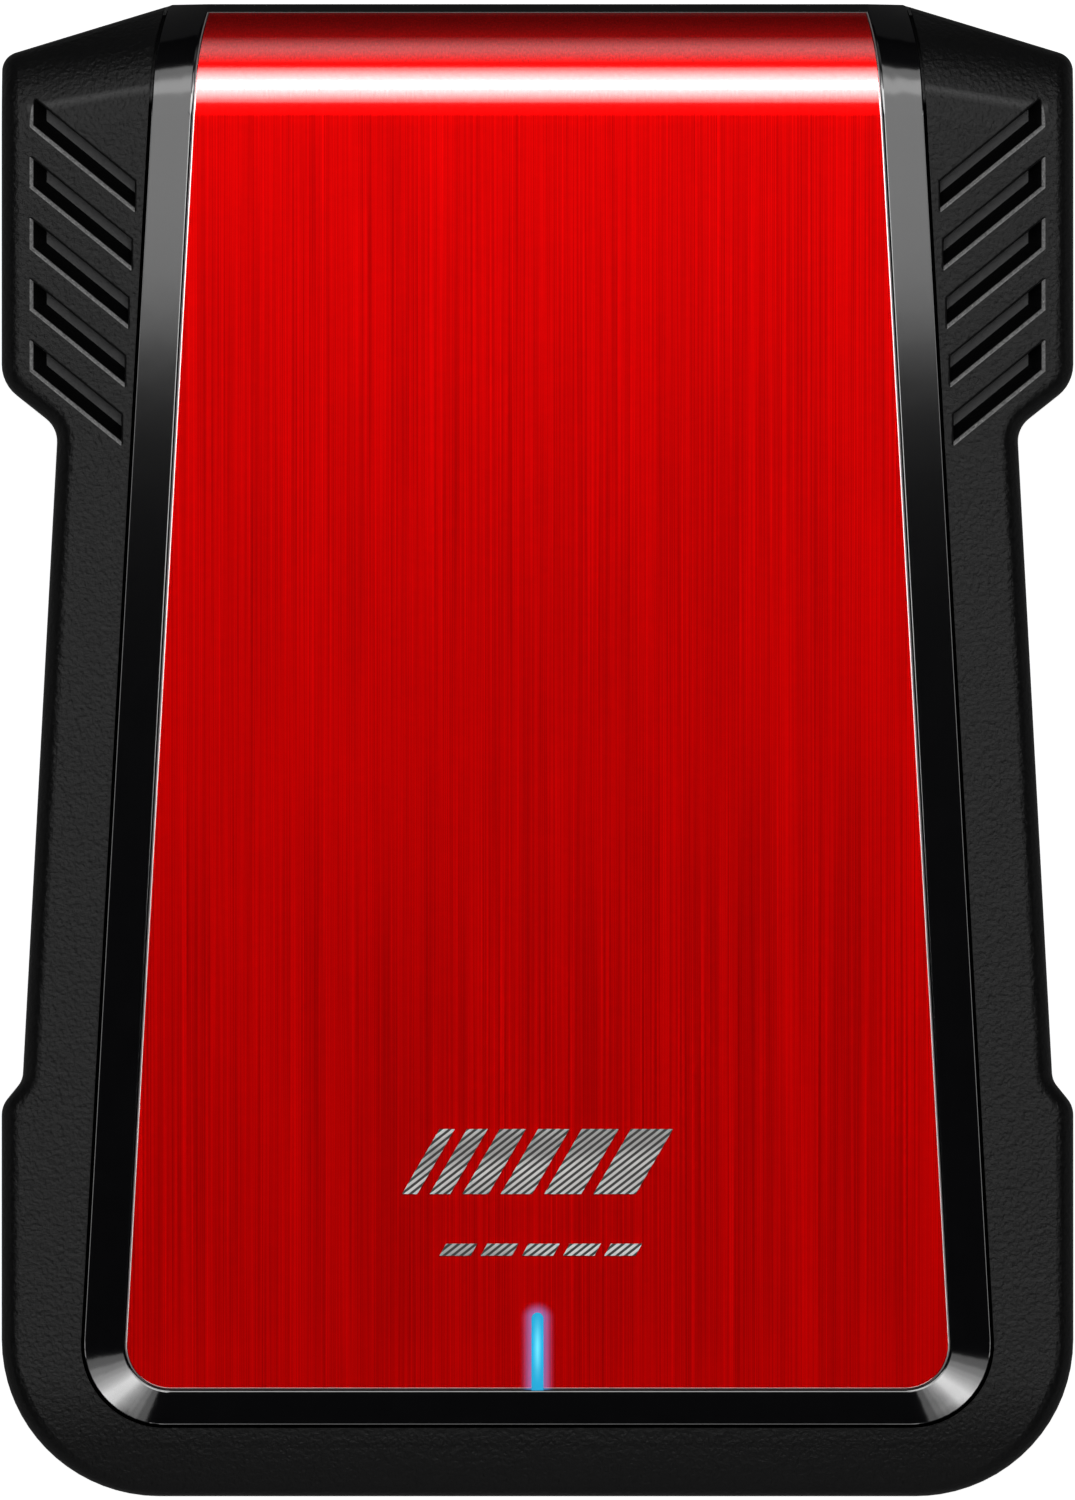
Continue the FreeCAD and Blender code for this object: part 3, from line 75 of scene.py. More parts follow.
class Shader:
    """A material's node tree with one Principled shader, and short calls for the nodes it needs."""

    def __init__(self, name, **sockets):
        self.material = bpy.data.materials.new(name)
        self.material.use_nodes = True
        self.tree = self.material.node_tree
        self.tree.nodes.clear()
        self.out = self.node("ShaderNodeOutputMaterial")
        self.shader = self.node("ShaderNodeBsdfPrincipled")
        self.link(self.shader.outputs["BSDF"], self.out.inputs["Surface"])
        for key, value in sockets.items():
            self.shader.inputs[key.replace("_", " ")].default_value = value
        coords = self.node("ShaderNodeTexCoord")
        self.place = coords.outputs["Object"]

    def node(self, kind, **settings):
        made = self.tree.nodes.new(kind)
        for key, value in settings.items():
            setattr(made, key, value)
        return made

    def link(self, source, target):
        if hasattr(source, "links"):
            self.tree.links.new(source, target)
        else:
            target.default_value = source

    def to(self, socket, source):
        """Feeds a socket of the Principled shader."""
        self.tree.links.new(source, self.shader.inputs[socket])

    def scaled(self, scale, rotation=(0, 0, 0)):
        """Object coordinates, turned and scaled; a scale of 1000 gives millimetres."""
        mapping = self.node("ShaderNodeMapping")
        mapping.inputs["Scale"].default_value = scale
        mapping.inputs["Rotation"].default_value = rotation
        self.link(self.place, mapping.inputs["Vector"])
        return mapping.outputs["Vector"]

    def noise(self, scale, detail=3.0, roughness=0.55):
        """Noise whose features are about 1/scale metres across, per axis."""
        texture = self.node("ShaderNodeTexNoise")
        texture.inputs["Scale"].default_value = 1.0
        texture.inputs["Detail"].default_value = detail
        texture.inputs["Roughness"].default_value = roughness
        self.link(self.scaled(scale), texture.inputs["Vector"])
        return texture.outputs["Fac"]

    def cells(self, scale, feature="F1", randomness=1.0):
        """Voronoi distance, for grain and pores."""
        texture = self.node("ShaderNodeTexVoronoi", feature=feature)
        texture.inputs["Scale"].default_value = 1.0
        texture.inputs["Randomness"].default_value = randomness
        self.link(self.scaled(scale), texture.inputs["Vector"])
        return texture.outputs["Distance"]

    def math(self, operation, a, b=0.0):
        made = self.node("ShaderNodeMath", operation=operation)
        self.link(a, made.inputs[0])
        self.link(b, made.inputs[1])
        return made.outputs[0]

    def span(self, value, low, high, to_low=0.0, to_high=1.0, smooth=False):
        """Maps low..high to to_low..to_high, clamped."""
        made = self.node("ShaderNodeMapRange")
        made.interpolation_type = "SMOOTHSTEP" if smooth else "LINEAR"
        self.link(value, made.inputs["Value"])
        for key, number in (("From Min", low), ("From Max", high), ("To Min", to_low), ("To Max", to_high)):
            made.inputs[key].default_value = number
        return made.outputs["Result"]

    def mix(self, factor, a, b):
        """Colour a to colour b by factor."""
        made = self.node("ShaderNodeMix", data_type="RGBA")
        self.link(factor, made.inputs[0])
        for source, target in ((a, made.inputs[6]), (b, made.inputs[7])):
            if hasattr(source, "links"):
                self.tree.links.new(source, target)
            else:
                target.default_value = (*source, 1.0)
        return made.outputs[2]

    def axes(self):
        """Object coordinates as three numbers."""
        made = self.node("ShaderNodeSeparateXYZ")
        self.link(self.place, made.inputs[0])
        return made.outputs

    def normal(self):
        """The surface normal as three numbers."""
        geometry = self.node("ShaderNodeNewGeometry")
        made = self.node("ShaderNodeSeparateXYZ")
        self.link(geometry.outputs["Normal"], made.inputs[0])
        return made.outputs

    def bump(self, height, strength, distance):
        """Surface relief on the shader."""
        made = self.node("ShaderNodeBump")
        made.inputs["Strength"].default_value = strength
        made.inputs["Distance"].default_value = distance
        self.link(height, made.inputs["Height"])
        self.to("Normal", made.outputs["Normal"])


# Materials

def lens_distance(m):
    """How far a point is from the lens's middle line, in metres."""
    x, y, _ = m.axes()
    past = m.math("MAXIMUM", m.math("SUBTRACT", y, LENS_Y1 - LENS_HALF), 0.0)
    squares = m.math("ADD", m.math("MULTIPLY", x, x), m.math("MULTIPLY", past, past))
    return m.math("SQRT", squares)


def red_anodised():
    """Hairline aluminium, anodised red, with painted shade just inside its edges, bright cut edges and the
    lens's glow beside its slot.
    """
    glow_colour = (0.05, 0.28, 0.75, 1.0)
    m = Shader("red_anodised", Metallic=1.0, Coat_Roughness=0.085, Coat_IOR=2.2, Emission_Color=glow_colour)
    fine = m.noise((14000, 30, 14000), 2.0, 0.6)
    medium = m.noise((6500, 16, 6500), 2.0, 0.5)
    broad = m.noise((1000, 3, 1000), 1.0, 0.5)
    streak = m.math("ADD", m.math("MULTIPLY", fine, 0.42), m.math("MULTIPLY", medium, 0.52))
    streak = m.math("ADD", streak, m.math("MULTIPLY", broad, 0.06))
    streak = m.span(streak, 0.34, 0.66)
    red = m.mix(streak, (0.42, 0.0002, 0.0002), (0.82, 0.0003, 0.0003))
    nx, ny, _ = m.normal()
    across = m.math("ABSOLUTE", nx)
    # Painted shade: the red darkens to near black where the plate starts to roll over at its sides and its
    # USB end
    painted_rim_shade = m.span(m.math("MAXIMUM", across, m.math("MULTIPLY", ny, -1.0)), 0.03, 0.22)
    red = m.mix(painted_rim_shade, red, (0.10, 0.0002, 0.0002))
    edge = m.math("MAXIMUM", m.span(across, 0.3, 0.5), m.span(ny, 0.73, 0.75))
    m.to("Base Color", m.mix(edge, red, (0.9, 0.80, 0.79)))
    m.to("Roughness", m.span(streak, 0.0, 1.0, 0.31, 0.36))
    m.to("Coat Weight", m.span(streak, 0.0, 1.0, 0.72, 1.0))
    m.bump(streak, 0.06, 0.00003)
    glow = m.span(lens_distance(m), LENS_HALF, LENS_HALF + GLOW_REACH, 1.0, 0.0, smooth=True)
    m.to("Emission Strength", m.math("MULTIPLY", m.math("MULTIPLY", glow, glow), 0.55))
    return m.material


def piano_black():
    """High-gloss black moulding with a trace of orange peel."""
    m = Shader("piano_black", Roughness=0.085, IOR=1.5)
    cloud = m.noise((400, 400, 400), 2.0)
    m.to("Base Color", m.mix(cloud, (0.0004, 0.0004, 0.0005), (0.0008, 0.0008, 0.0009)))
    m.bump(m.noise((250, 250, 250), 1.0), 0.02, 0.0001)
    return m.material


def grained_black():
    """Black moulding with a fine leather-like grain, painted light on the slot floors, painted shade in the
    groove round the trim and painted highlights on the slot rims.
    """
    m = Shader("grained_black", IOR=1.46)
    grain = m.cells((2300, 2300, 2300), "SMOOTH_F1")
    crinkle = m.noise((3600, 3600, 3600), 3.0, 0.6)
    relief = m.math("ADD", m.math("MULTIPLY", grain, 0.6), m.math("MULTIPLY", crinkle, 0.8))
    patch = m.noise((90, 90, 90), 3.0)
    black = m.mix(patch, (0.0025, 0.0025, 0.0027), (0.0042, 0.0042, 0.0045))
    x, y, z = m.axes()
    nx, ny, nz = m.normal()
    depth = m.math("SUBTRACT", SHELL_TOP, z)
    level = m.span(nz, 0.985, 0.995)

    def floor_at(deep):
        off = m.math("ABSOLUTE", m.math("SUBTRACT", depth, deep))
        return m.math("MULTIPLY", level, m.span(off, 0.2 * MM, 0.2 * MM + BLEND, 1.0, 0.0))

    # Painted shade: the floor of the groove round the trim is made black and metallic, so it reflects next
    # to nothing
    painted_groove_shade = floor_at(GROOVE_DEPTH)
    # Painted light: the slot floors are made pale grey, as if lit
    black = m.mix(floor_at(SLOT_DEPTH), black, (0.11, 0.11, 0.112))
    # Painted highlight: slot rims facing this way, down to 0.3 mm below the top, are made pale grey, as if
    # catching the light
    outward = m.math("MULTIPLY", nx, m.math("SIGN", x))
    outward, along = m.math("MULTIPLY", outward, RIM_HIGHLIGHT_FACING[0]), m.math("MULTIPLY", ny, RIM_HIGHLIGHT_FACING[1])
    facing = m.span(m.math("ADD", outward, along), 0.12, 0.35)
    grip = m.span(y, GRIP_Y0, GRIP_Y0 + BLEND)
    grip = m.math("MULTIPLY", grip, m.span(depth, 0.3 * MM, 0.3 * MM + BLEND, 1.0, 0.0))
    grip = m.math("MULTIPLY", grip, m.span(m.math("ABSOLUTE", x), GRIP_X1, GRIP_X1 + BLEND, 1.0, 0.0))
    painted_rim_highlight = m.math("MULTIPLY", m.math("MULTIPLY", facing, grip), m.span(crinkle, 0.3, 0.6, 0.5, 1.0))
    black = m.mix(painted_rim_highlight, black, (0.7, 0.7, 0.7))
    # Painted shade in the groove: black base colour and full metallic there
    m.to("Base Color", m.mix(painted_groove_shade, black, (0.0002, 0.0002, 0.0002)))
    m.to("Metallic", painted_groove_shade)
    m.to("Roughness", m.span(crinkle, 0.3, 0.7, 0.33, 0.42))
    m.bump(relief, 0.75, 0.00009)
    return m.material


def moulded(name, colour, roughness, grain=3000.0, strength=0.15):
    """Satin moulded plastic or rubber."""
    m = Shader(name, IOR=1.47)
    fine = m.noise((grain,) * 3, 4.0, 0.6)
    patch = m.noise((grain / 40,) * 3, 2.0)
    darker = tuple(0.8 * c for c in colour)
    m.to("Base Color", m.mix(patch, darker, colour))
    m.to("Roughness", m.span(fine, 0.3, 0.7, roughness - 0.05, roughness + 0.07))
    m.bump(fine, strength, 0.00004)
    return m.material


def metal(name, colour, roughness, stretch=(2500, 2500, 2500), strength=0.06):
    """Plated or blasted metal with fine variation."""
    m = Shader(name, Metallic=1.0)
    fine = m.noise(stretch, 4.0, 0.65)
    darker = tuple(0.78 * c for c in colour)
    m.to("Base Color", m.mix(fine, darker, colour))
    m.to("Roughness", m.span(fine, 0.3, 0.7, roughness - 0.06, roughness + 0.08))
    m.bump(fine, strength, 0.00003)
    return m.material


def silver_print():
    """Bright metal with a fine diagonal hatch and painted shade on its flanks."""
    m = Shader("silver_print", Metallic=1.0)
    wave = m.node("ShaderNodeTexWave", wave_type="BANDS", bands_direction="X")
    wave.inputs["Scale"].default_value = 1.0
    m.link(m.scaled((650, 650, 650), (0, 0, math.radians(52))), wave.inputs["Vector"])
    line = m.span(wave.outputs["Fac"], 0.3, 0.7)
    shade = m.span(m.noise((60, 240, 60), 1.0, 0.5), 0.35, 0.65, 0.45, 1.0)
    hatch = m.mix(line, (0.035, 0.034, 0.033), m.mix(shade, (0.02, 0.02, 0.02), (0.50, 0.485, 0.48)))
    # Painted shade: the emblem's sides are made a dark red, as if in shadow on the red plate
    painted_flank_shade = m.span(m.normal()[2], 0.6, 0.9)
    m.to("Base Color", m.mix(painted_flank_shade, (0.02, 0.004, 0.004), hatch))
    m.to("Roughness", m.span(line, 0.0, 1.0, 0.5, 0.42))
    m.bump(line, 0.3, 0.00003)
    return m.material


def lens():
    """Lit lens: blue at its rim, near white along its core."""
    m = Shader("lens", Base_Color=(0.01, 0.06, 0.1, 1.0), Roughness=0.2, IOR=1.5)
    x, y, _ = m.axes()
    middle = m.span(m.math("ABSOLUTE", x), 0.05 * LENS_HALF, 0.8 * LENS_HALF, 1.0, 0.0)
    core_y = LENS_Y0 + 0.55 * LENS_LENGTH
    away = m.math("ABSOLUTE", m.math("SUBTRACT", y, core_y))
    near = m.span(away, 0.0, 0.5 * LENS_LENGTH, 1.0, 0.0, smooth=True)
    hot = m.math("MULTIPLY", m.math("MULTIPLY", middle, near), 0.75)
    m.to("Emission Color", m.mix(hot, (0.004, 0.36, 0.64), (0.20, 0.86, 0.95)))
    glow = m.span(near, 0.0, 1.0, 0.78, 0.95)
    speckle = m.math("MULTIPLY", m.noise((900, 900, 900), 1.0), 0.1)
    m.to("Emission Strength", m.math("ADD", glow, speckle))
    return m.material


def circuit_board():
    """Solder mask over laminate, with faint copper pours showing through."""
    m = Shader("circuit_board", Roughness=0.35, Coat_Weight=0.4, Coat_Roughness=0.15)
    weave = m.noise((1800, 1800, 1800), 2.0)
    pour = m.cells((160, 160, 160), "DISTANCE_TO_EDGE")
    copper = m.span(pour, 0.04, 0.06)
    m.to("Base Color", m.mix(copper, (0.004, 0.030, 0.016), (0.007, 0.060, 0.030)))
    m.bump(m.math("ADD", m.math("MULTIPLY", copper, 0.6), m.math("MULTIPLY", weave, 0.2)), 0.2, 0.00004)
    return m.material


def sticker(name, colour):
    """Coated paper; the drive's label has two plain printed bands along its USB end."""
    m = Shader(name, Roughness=0.5)
    fibre = m.noise((1500, 1500, 1500), 4.0)
    paper = m.mix(fibre, tuple(0.93 * c for c in colour), colour)
    _, y, z = m.axes()
    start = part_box("drive_label")[0]
    wear = m.span(fibre, 0.2, 0.5, 0.85, 1.0)
    # The signs under the case share this finish, and lie below the height where the ink starts
    ink = m.math("MULTIPLY", wear, m.span(z, start.z - 1 * MM, start.z - 0.5 * MM))
    for reach, band in ((14 * MM, (0.35, 0.01, 0.01)), (10 * MM, (0.02, 0.02, 0.022))):
        inside = m.span(y, start.y + reach, start.y + reach + BLEND, 1.0, 0.0)
        paper = m.mix(m.math("MULTIPLY", inside, ink), paper, band)
    m.to("Base Color", paper)
    m.bump(fibre, 0.05, 0.00003)
    return m.material


def foam():
    """Fine-pored black foam."""
    m = Shader("foam", Roughness=0.95)
    pores = m.cells((1700, 1700, 1700), "DISTANCE_TO_EDGE")
    m.to("Base Color", m.mix(m.span(pores, 0.02, 0.3), (0.006, 0.006, 0.006), (0.04, 0.04, 0.042)))
    m.bump(pores, 0.8, 0.0002)
    return m.material


def finishes():
    """One material for every slot in the record."""
    return {
        "grained_black": grained_black(),
        "black_plastic": moulded("black_plastic", (0.03, 0.03, 0.032), 0.45),
        "piano_black": piano_black(),
        "red_anodised": red_anodised(),
        "adhesive_film": moulded("adhesive_film", (0.7, 0.7, 0.66), 0.35),
        "lens": lens(),
        "silver_print": silver_print(),
        "foam": foam(),
        "rubber": moulded("rubber", (0.018, 0.018, 0.018), 0.8, 2000.0, 0.3),
        "zinc_steel": metal("zinc_steel", (0.72, 0.72, 0.69), 0.28),
        "circuit_board": circuit_board(),
        "chip_resin": moulded("chip_resin", (0.022, 0.022, 0.024), 0.5, 5000.0, 0.25),
        "can_steel": metal("can_steel", (0.75, 0.74, 0.71), 0.24, (600, 6000, 6000)),
        "ferrite": moulded("ferrite", (0.06, 0.06, 0.065), 0.6, 4000.0, 0.3),
        "chip_ceramic": moulded("chip_ceramic", (0.42, 0.29, 0.18), 0.4),
        "lamp": moulded("lamp", (0.85, 0.86, 0.8), 0.2),
        "connector_plastic": moulded("connector_plastic", (0.015, 0.015, 0.017), 0.42, 2600.0, 0.12),
        "gold": metal("gold", (0.95, 0.66, 0.26), 0.2),
        "drive_metal": metal("drive_metal", (0.33, 0.34, 0.36), 0.42, (5000, 5000, 5000), 0.2),
        "thermal_gel": moulded("thermal_gel", (0.35, 0.42, 0.52), 0.7, 1500.0, 0.2),
        "label": sticker("label", (0.72, 0.72, 0.71)),
    }


def dress_cad():
    """Gives every CAD node its slot's finish."""
    for part in frame["record"]["subparts"]:
        mesh = NODES[part["node"]].data
        mesh.materials.clear()
        mesh.materials.append(materials[part["material_slot"]])


# Extra pieces

BOARD_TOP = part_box("bridge_board")[1].z
TRACE_HEIGHT = 0.025 * MM
SOLDER = 0.04 * MM        # how far the plated ends stand out from what they cover
SOFT_EDGE = 0.03 * MM     # rounding of the small blocks
CAPACITOR = (1.6 * MM, 0.8 * MM, 0.8 * MM)      # length, width, height
CAPACITOR_CAP = 0.32 * MM
CAPACITOR_ROW = (2.6 * MM, 6)       # pitch along x, count
CAPACITOR_COLUMN = (2.2 * MM, 3)    # pitch along y, count
RESISTOR = (0.5 * MM, 0.26 * MM, 0.36 * MM)     # half length, half width, height
RESISTOR_BARE = 0.28 * MM       # half of the length that its ends leave bare
RESISTOR_PITCH = 1.7 * MM
RESISTORS_IN_ROW = 4
RESISTOR_ROWS = (         # middle of the first in each row
    (-20 * MM, -60.8 * MM),
    (8.6 * MM, -60.9 * MM),
    (19.6 * MM, -60.6 * MM),
    (-9.6 * MM, -57.2 * MM),
)
SMALL_CHIP_PITCH = 1.27 * MM
SMALL_CHIP_LEG_WIDTH = 0.4 * MM
SMALL_CHIP_LEG = (        # each block of a leg: from and to, away from the chip's side; bottom, top
    (-0.05 * MM, 0.42 * MM, 0.6 * MM, 0.76 * MM),
    (0.28 * MM, 0.44 * MM, 0.04 * MM, 0.74 * MM),
    (0.3 * MM, 0.95 * MM, 0.0, 0.16 * MM),
)
BRIDGE_PITCH = 0.5 * MM
BRIDGE_PADS = 12          # on each side of the bridge chip
BRIDGE_PAD_START = 0.75 * MM    # from the chip's corner to the first pad's middle
BRIDGE_PAD = (0.3 * MM, 0.12 * MM, 0.09 * MM)   # half length, half width, height
PRINT = 0.03 * MM         # thickness of the printed signs
SIGN_LINE = 0.2 * MM
SIGN_GAP = 1.9 * MM       # from the lock to the middle of the padlocks
SIGN_SHIFT = 0.8 * MM     # each padlock's middle is this far past an edge of the lock, along its slide
ARROW_LENGTH = 2.0 * MM
ARROW_GAP = 1.7 * MM      # from the open padlock's middle to the arrow's tail


def finished(name, bm, body, slot, smooth=False):
    """Turns a bmesh into a piece that rides on a body."""
    bmesh.ops.recalc_face_normals(bm, faces=bm.faces)
    mesh = bpy.data.meshes.new(name)
    bm.to_mesh(mesh)
    bm.free()
    for face in mesh.polygons:
        face.use_smooth = smooth
    made = bpy.data.objects.new(name, mesh)
    bpy.context.scene.collection.objects.link(made)
    mesh.materials.append(materials[slot])
    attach(made, body)
    return made


def add_block(bm, low, high, soft):
    """Adds a block with softened edges."""
    low, high = Vector(low), Vector(high)
    verts = bmesh.ops.create_cube(bm, size=1.0)["verts"]
    size, middle = high - low, (low + high) / 2
    for vert in verts:
        vert.co = Vector(a * b for a, b in zip(vert.co, size)) + middle
    edges = {edge for vert in verts for edge in vert.link_edges}
    bmesh.ops.bevel(bm, geom=list(edges), offset=soft, segments=2, affect="EDGES")


def add_ribbon(bm, points, width, z, height):
    """Adds a flat strip along the points, with mitred bends."""
    points = [Vector(point) for point in points]
    pairs = []
    for i, here in enumerate(points):
        # The directions into this point and out of it; an end has only one
        ways = [(b - a).normalized() for a, b in zip(points[max(i - 1, 0):], points[i if i else 1:i + 2])]
        along = sum(ways, Vector((0, 0))).normalized()
        across = Vector((-along.y, along.x)) * width / 2 / max(0.5, along.dot(ways[0]))
        pairs.append((here + across, here - across))
    rows = []
    for pair in pairs:
        rows.append([[bm.verts.new((p.x, p.y, level)) for p in pair] for level in (z, z + height)])
    for (low, high), (next_low, next_high) in zip(rows, rows[1:]):
        bm.faces.new((high[0], high[1], next_high[1], next_high[0]))
        bm.faces.new((low[0], high[0], next_high[0], next_low[0]))
        bm.faces.new((low[1], high[1], next_high[1], next_low[1]))
        bm.faces.new((low[0], low[1], next_low[1], next_low[0]))
    for low, high in (rows[0], rows[-1]):
        bm.faces.new((low[0], low[1], high[1], high[0]))


def rounded_ring(low, high, inset, radius, per_corner=6):
    """Points of a rounded rectangle, moved inwards by inset."""
    radius = max(radius - inset, 0.2 * MM)
    x0, y0 = low.x + inset + radius, low.y + inset + radius
    x1, y1 = high.x - inset - radius, high.y - inset - radius
    points = []
    for corner, (x, y) in enumerate(((x1, y1), (x0, y1), (x0, y0), (x1, y0))):
        for i in range(per_corner + 1):
            turn = math.radians(90) * (corner + i / per_corner)
            points.append((x + radius * math.cos(turn), y + radius * math.sin(turn)))
    return points


def foam_pad(node, body, free_side_up):
    """Foam pad: flat where it is glued, rounded and gently crowned on its free side."""
    low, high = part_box(node)
    height = high.z - low.z
    chance = random.Random(node)
    bm = bmesh.new()
    soft = 0.45 * height
    # Each ring's distance inside the edge, and its share of the height
    profile = [(0.0, 0.0), (0.10 * MM, 0.25), (0.06 * MM, 0.5), (0.12 * soft, 0.72), (0.55 * soft, 0.87)]
    profile += [(1.4 * soft, 0.93), (3 * MM, 0.955), (7 * MM, 0.975), (13 * MM, 0.985), (20 * MM, 0.99)]
    rings = []
    for inset, up in profile:
        rise = height * up
        z = low.z + rise if free_side_up else high.z - rise
        slack = 0.012 * height if up > 0.9 else 0.0
        ring = rounded_ring(low, high, inset, 3 * MM)
        rings.append([bm.verts.new((x, y, z + chance.uniform(-slack, slack))) for x, y in ring])
    count = len(rings[0])
    for ring, inner in zip(rings, rings[1:]):
        for i in range(count):
            bm.faces.new((ring[i], ring[(i + 1) % count], inner[(i + 1) % count], inner[i]))
    bm.faces.new(rings[0])
    bm.faces.new(rings[-1])
    pad = finished(node + "_pad", bm, body, "foam", smooth=True)
    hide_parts(node)


def capacitor_ends(bm):
    """Adds both plated ends of every capacitor."""
    length, width, height = CAPACITOR
    first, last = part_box("capacitors")
    pitch, count = CAPACITOR_ROW
    places = [(first.x + pitch * i, last.y - width, False) for i in range(count)]
    pitch, count = CAPACITOR_COLUMN
    places += [(last.x - width, first.y + pitch * i, True) for i in range(count)]
    for x, y, upright in places:
        for start in (0, length - CAPACITOR_CAP):
            x0, y0 = (x, y + start) if upright else (x + start, y)
            dx, dy = (width, CAPACITOR_CAP) if upright else (CAPACITOR_CAP, width)
            low = (x0 - SOLDER, y0 - SOLDER, BOARD_TOP)
            high = (x0 + dx + SOLDER, y0 + dy + SOLDER, BOARD_TOP + height + SOLDER)
            add_block(bm, low, high, SOFT_EDGE)


def end_caps():
    """Plated ends of the board's capacitors and resistors, and the resistors' bodies."""
    ends, bodies = bmesh.new(), bmesh.new()
    capacitor_ends(ends)
    half_length, half_width, height = RESISTOR
    for x_first, y in RESISTOR_ROWS:
        for i in range(RESISTORS_IN_ROW):
            x = x_first + RESISTOR_PITCH * i
            low = (x - half_length, y - half_width, BOARD_TOP)
            high = (x + half_length, y + half_width, BOARD_TOP + height)
            add_block(bodies, low, high, SOFT_EDGE)
            for way in (-1, 1):
                x0, x1 = sorted((x + way * RESISTOR_BARE, x + way * (half_length + SOLDER)))
                low = (x0, y - half_width - SOLDER, BOARD_TOP)
                high = (x1, y + half_width + SOLDER, BOARD_TOP + height + SOLDER)
                add_block(ends, low, high, SOFT_EDGE)
    finished("component_ends", ends, "base", "can_steel")
    finished("resistors", bodies, "base", "chip_resin")


def add_pad(bm, x, y, half_x, half_y, height):
    """Adds one solder pad at the bridge chip's edge."""
    low = (x - half_x, y - half_y, BOARD_TOP)
    add_block(bm, low, (x + half_x, y + half_y, BOARD_TOP + height), 0.02 * MM)


def chip_legs():
    """Bent legs of the small memory chip and the solder pads round the bridge chip."""
    bm = bmesh.new()
    low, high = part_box("flash_config_chip")
    middle = (low.x + high.x) / 2
    for i in range(4):
        x0 = middle + (i - 1.5) * SMALL_CHIP_PITCH - SMALL_CHIP_LEG_WIDTH / 2
        x1 = x0 + SMALL_CHIP_LEG_WIDTH
        for y, way in ((low.y, -1), (high.y, 1)):
            for near, far, z0, z1 in SMALL_CHIP_LEG:
                y0, y1 = sorted((y + way * near, y + way * far))
                add_block(bm, (x0, y0, BOARD_TOP + z0), (x1, y1, BOARD_TOP + z1), SOFT_EDGE)
    low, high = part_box("bridge_chip")
    half_length, half_width, height = BRIDGE_PAD
    for i in range(BRIDGE_PADS):
        along = BRIDGE_PAD_START + i * BRIDGE_PITCH
        for x in (low.x, high.x):
            add_pad(bm, x, low.y + along, half_length, half_width, height)
        for y in (low.y, high.y):
            add_pad(bm, low.x + along, y, half_width, half_length, height)
    finished("chip_legs", bm, "base", "can_steel")


def board_traces():
    """Copper runs under the mask, from the bridge chip to both connectors and out to the indicator."""
    bm = bmesh.new()
    chip_low, chip_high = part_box("bridge_chip")
    usb_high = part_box("usb_receptacle")[1]
    sata_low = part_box("sata_receptacle")[0]
    lamp_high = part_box("status_led")[1]
    # Four runs to the USB receptacle
    for i in range(4):
        y = chip_low.y + (2 + i) * BRIDGE_PITCH
        x = usb_high.x - (3 - i) * 1.1 * MM
        turn = usb_high.y + (0.6 + 0.35 * (3 - i)) * MM
        bend = abs(y - turn)
        points = [(chip_low.x, y), (x + bend, y), (x, turn), (x, usb_high.y - 0.3 * MM)]
        add_ribbon(bm, points, 0.18 * MM, BOARD_TOP, TRACE_HEIGHT)
    # Seven runs to the SATA receptacle
    for i in range(7):
        x = chip_low.x + (2 + i) * BRIDGE_PITCH
        end_x = x - 9 * MM + i * 0.55 * MM
        y = chip_high.y + (0.45 + 0.28 * i) * MM
        points = [(x, chip_high.y), (x, y - 0.2 * MM), (x - 0.2 * MM, y), (end_x + 0.2 * MM, y)]
        points += [(end_x, y + 0.2 * MM), (end_x, sata_low.y + 0.3 * MM)]
        add_ribbon(bm, points, 0.16 * MM, BOARD_TOP, TRACE_HEIGHT)
    # The indicator's run, round what stands between
    lamp_y = lamp_high.y - 0.5 * MM
    points = [(lamp_high.x, lamp_y), (2.6 * MM, lamp_y), (3.4 * MM, lamp_y + 0.8 * MM)]
    points += [(7.6 * MM, lamp_y + 0.8 * MM), (8.4 * MM, lamp_y), (chip_low.x, lamp_y)]
    add_ribbon(bm, points, 0.2 * MM, BOARD_TOP, TRACE_HEIGHT)
    # Two broad supply runs
    for i, y in enumerate((-54.6 * MM, -57.3 * MM)):
        points = [(-12 * MM, y), (-10.4 * MM + i * MM, y), (-7.6 * MM + i * MM, y + 2.8 * MM)]
        points += [(-7.6 * MM + i * MM, sata_low.y + 0.3 * MM)]
        add_ribbon(bm, points, 0.9 * MM, BOARD_TOP, TRACE_HEIGHT)
    finished("board_traces", bm, "base", "circuit_board")


def padlock(bm, x, y, z, is_open):
    """Adds a flat padlock sign that is read from below."""
    add_block(bm, (x - 0.85 * MM, y - 1.2 * MM, z - PRINT), (x + 0.85 * MM, y + 0.05 * MM, z), 0.008 * MM)
    radius = 0.5 * MM
    middle = x + (0.75 * MM if is_open else 0.0)
    turns = [math.pi * i / 10 for i in range(11)]
    arc = [(middle - radius * math.cos(turn), y + 0.6 * MM + radius * math.sin(turn)) for turn in turns]
    start = (arc[0][0], y)
    end = (arc[-1][0], y + 0.35 * MM if is_open else y)
    add_ribbon(bm, [start, *arc, end], 0.24 * MM, z - PRINT, PRINT)


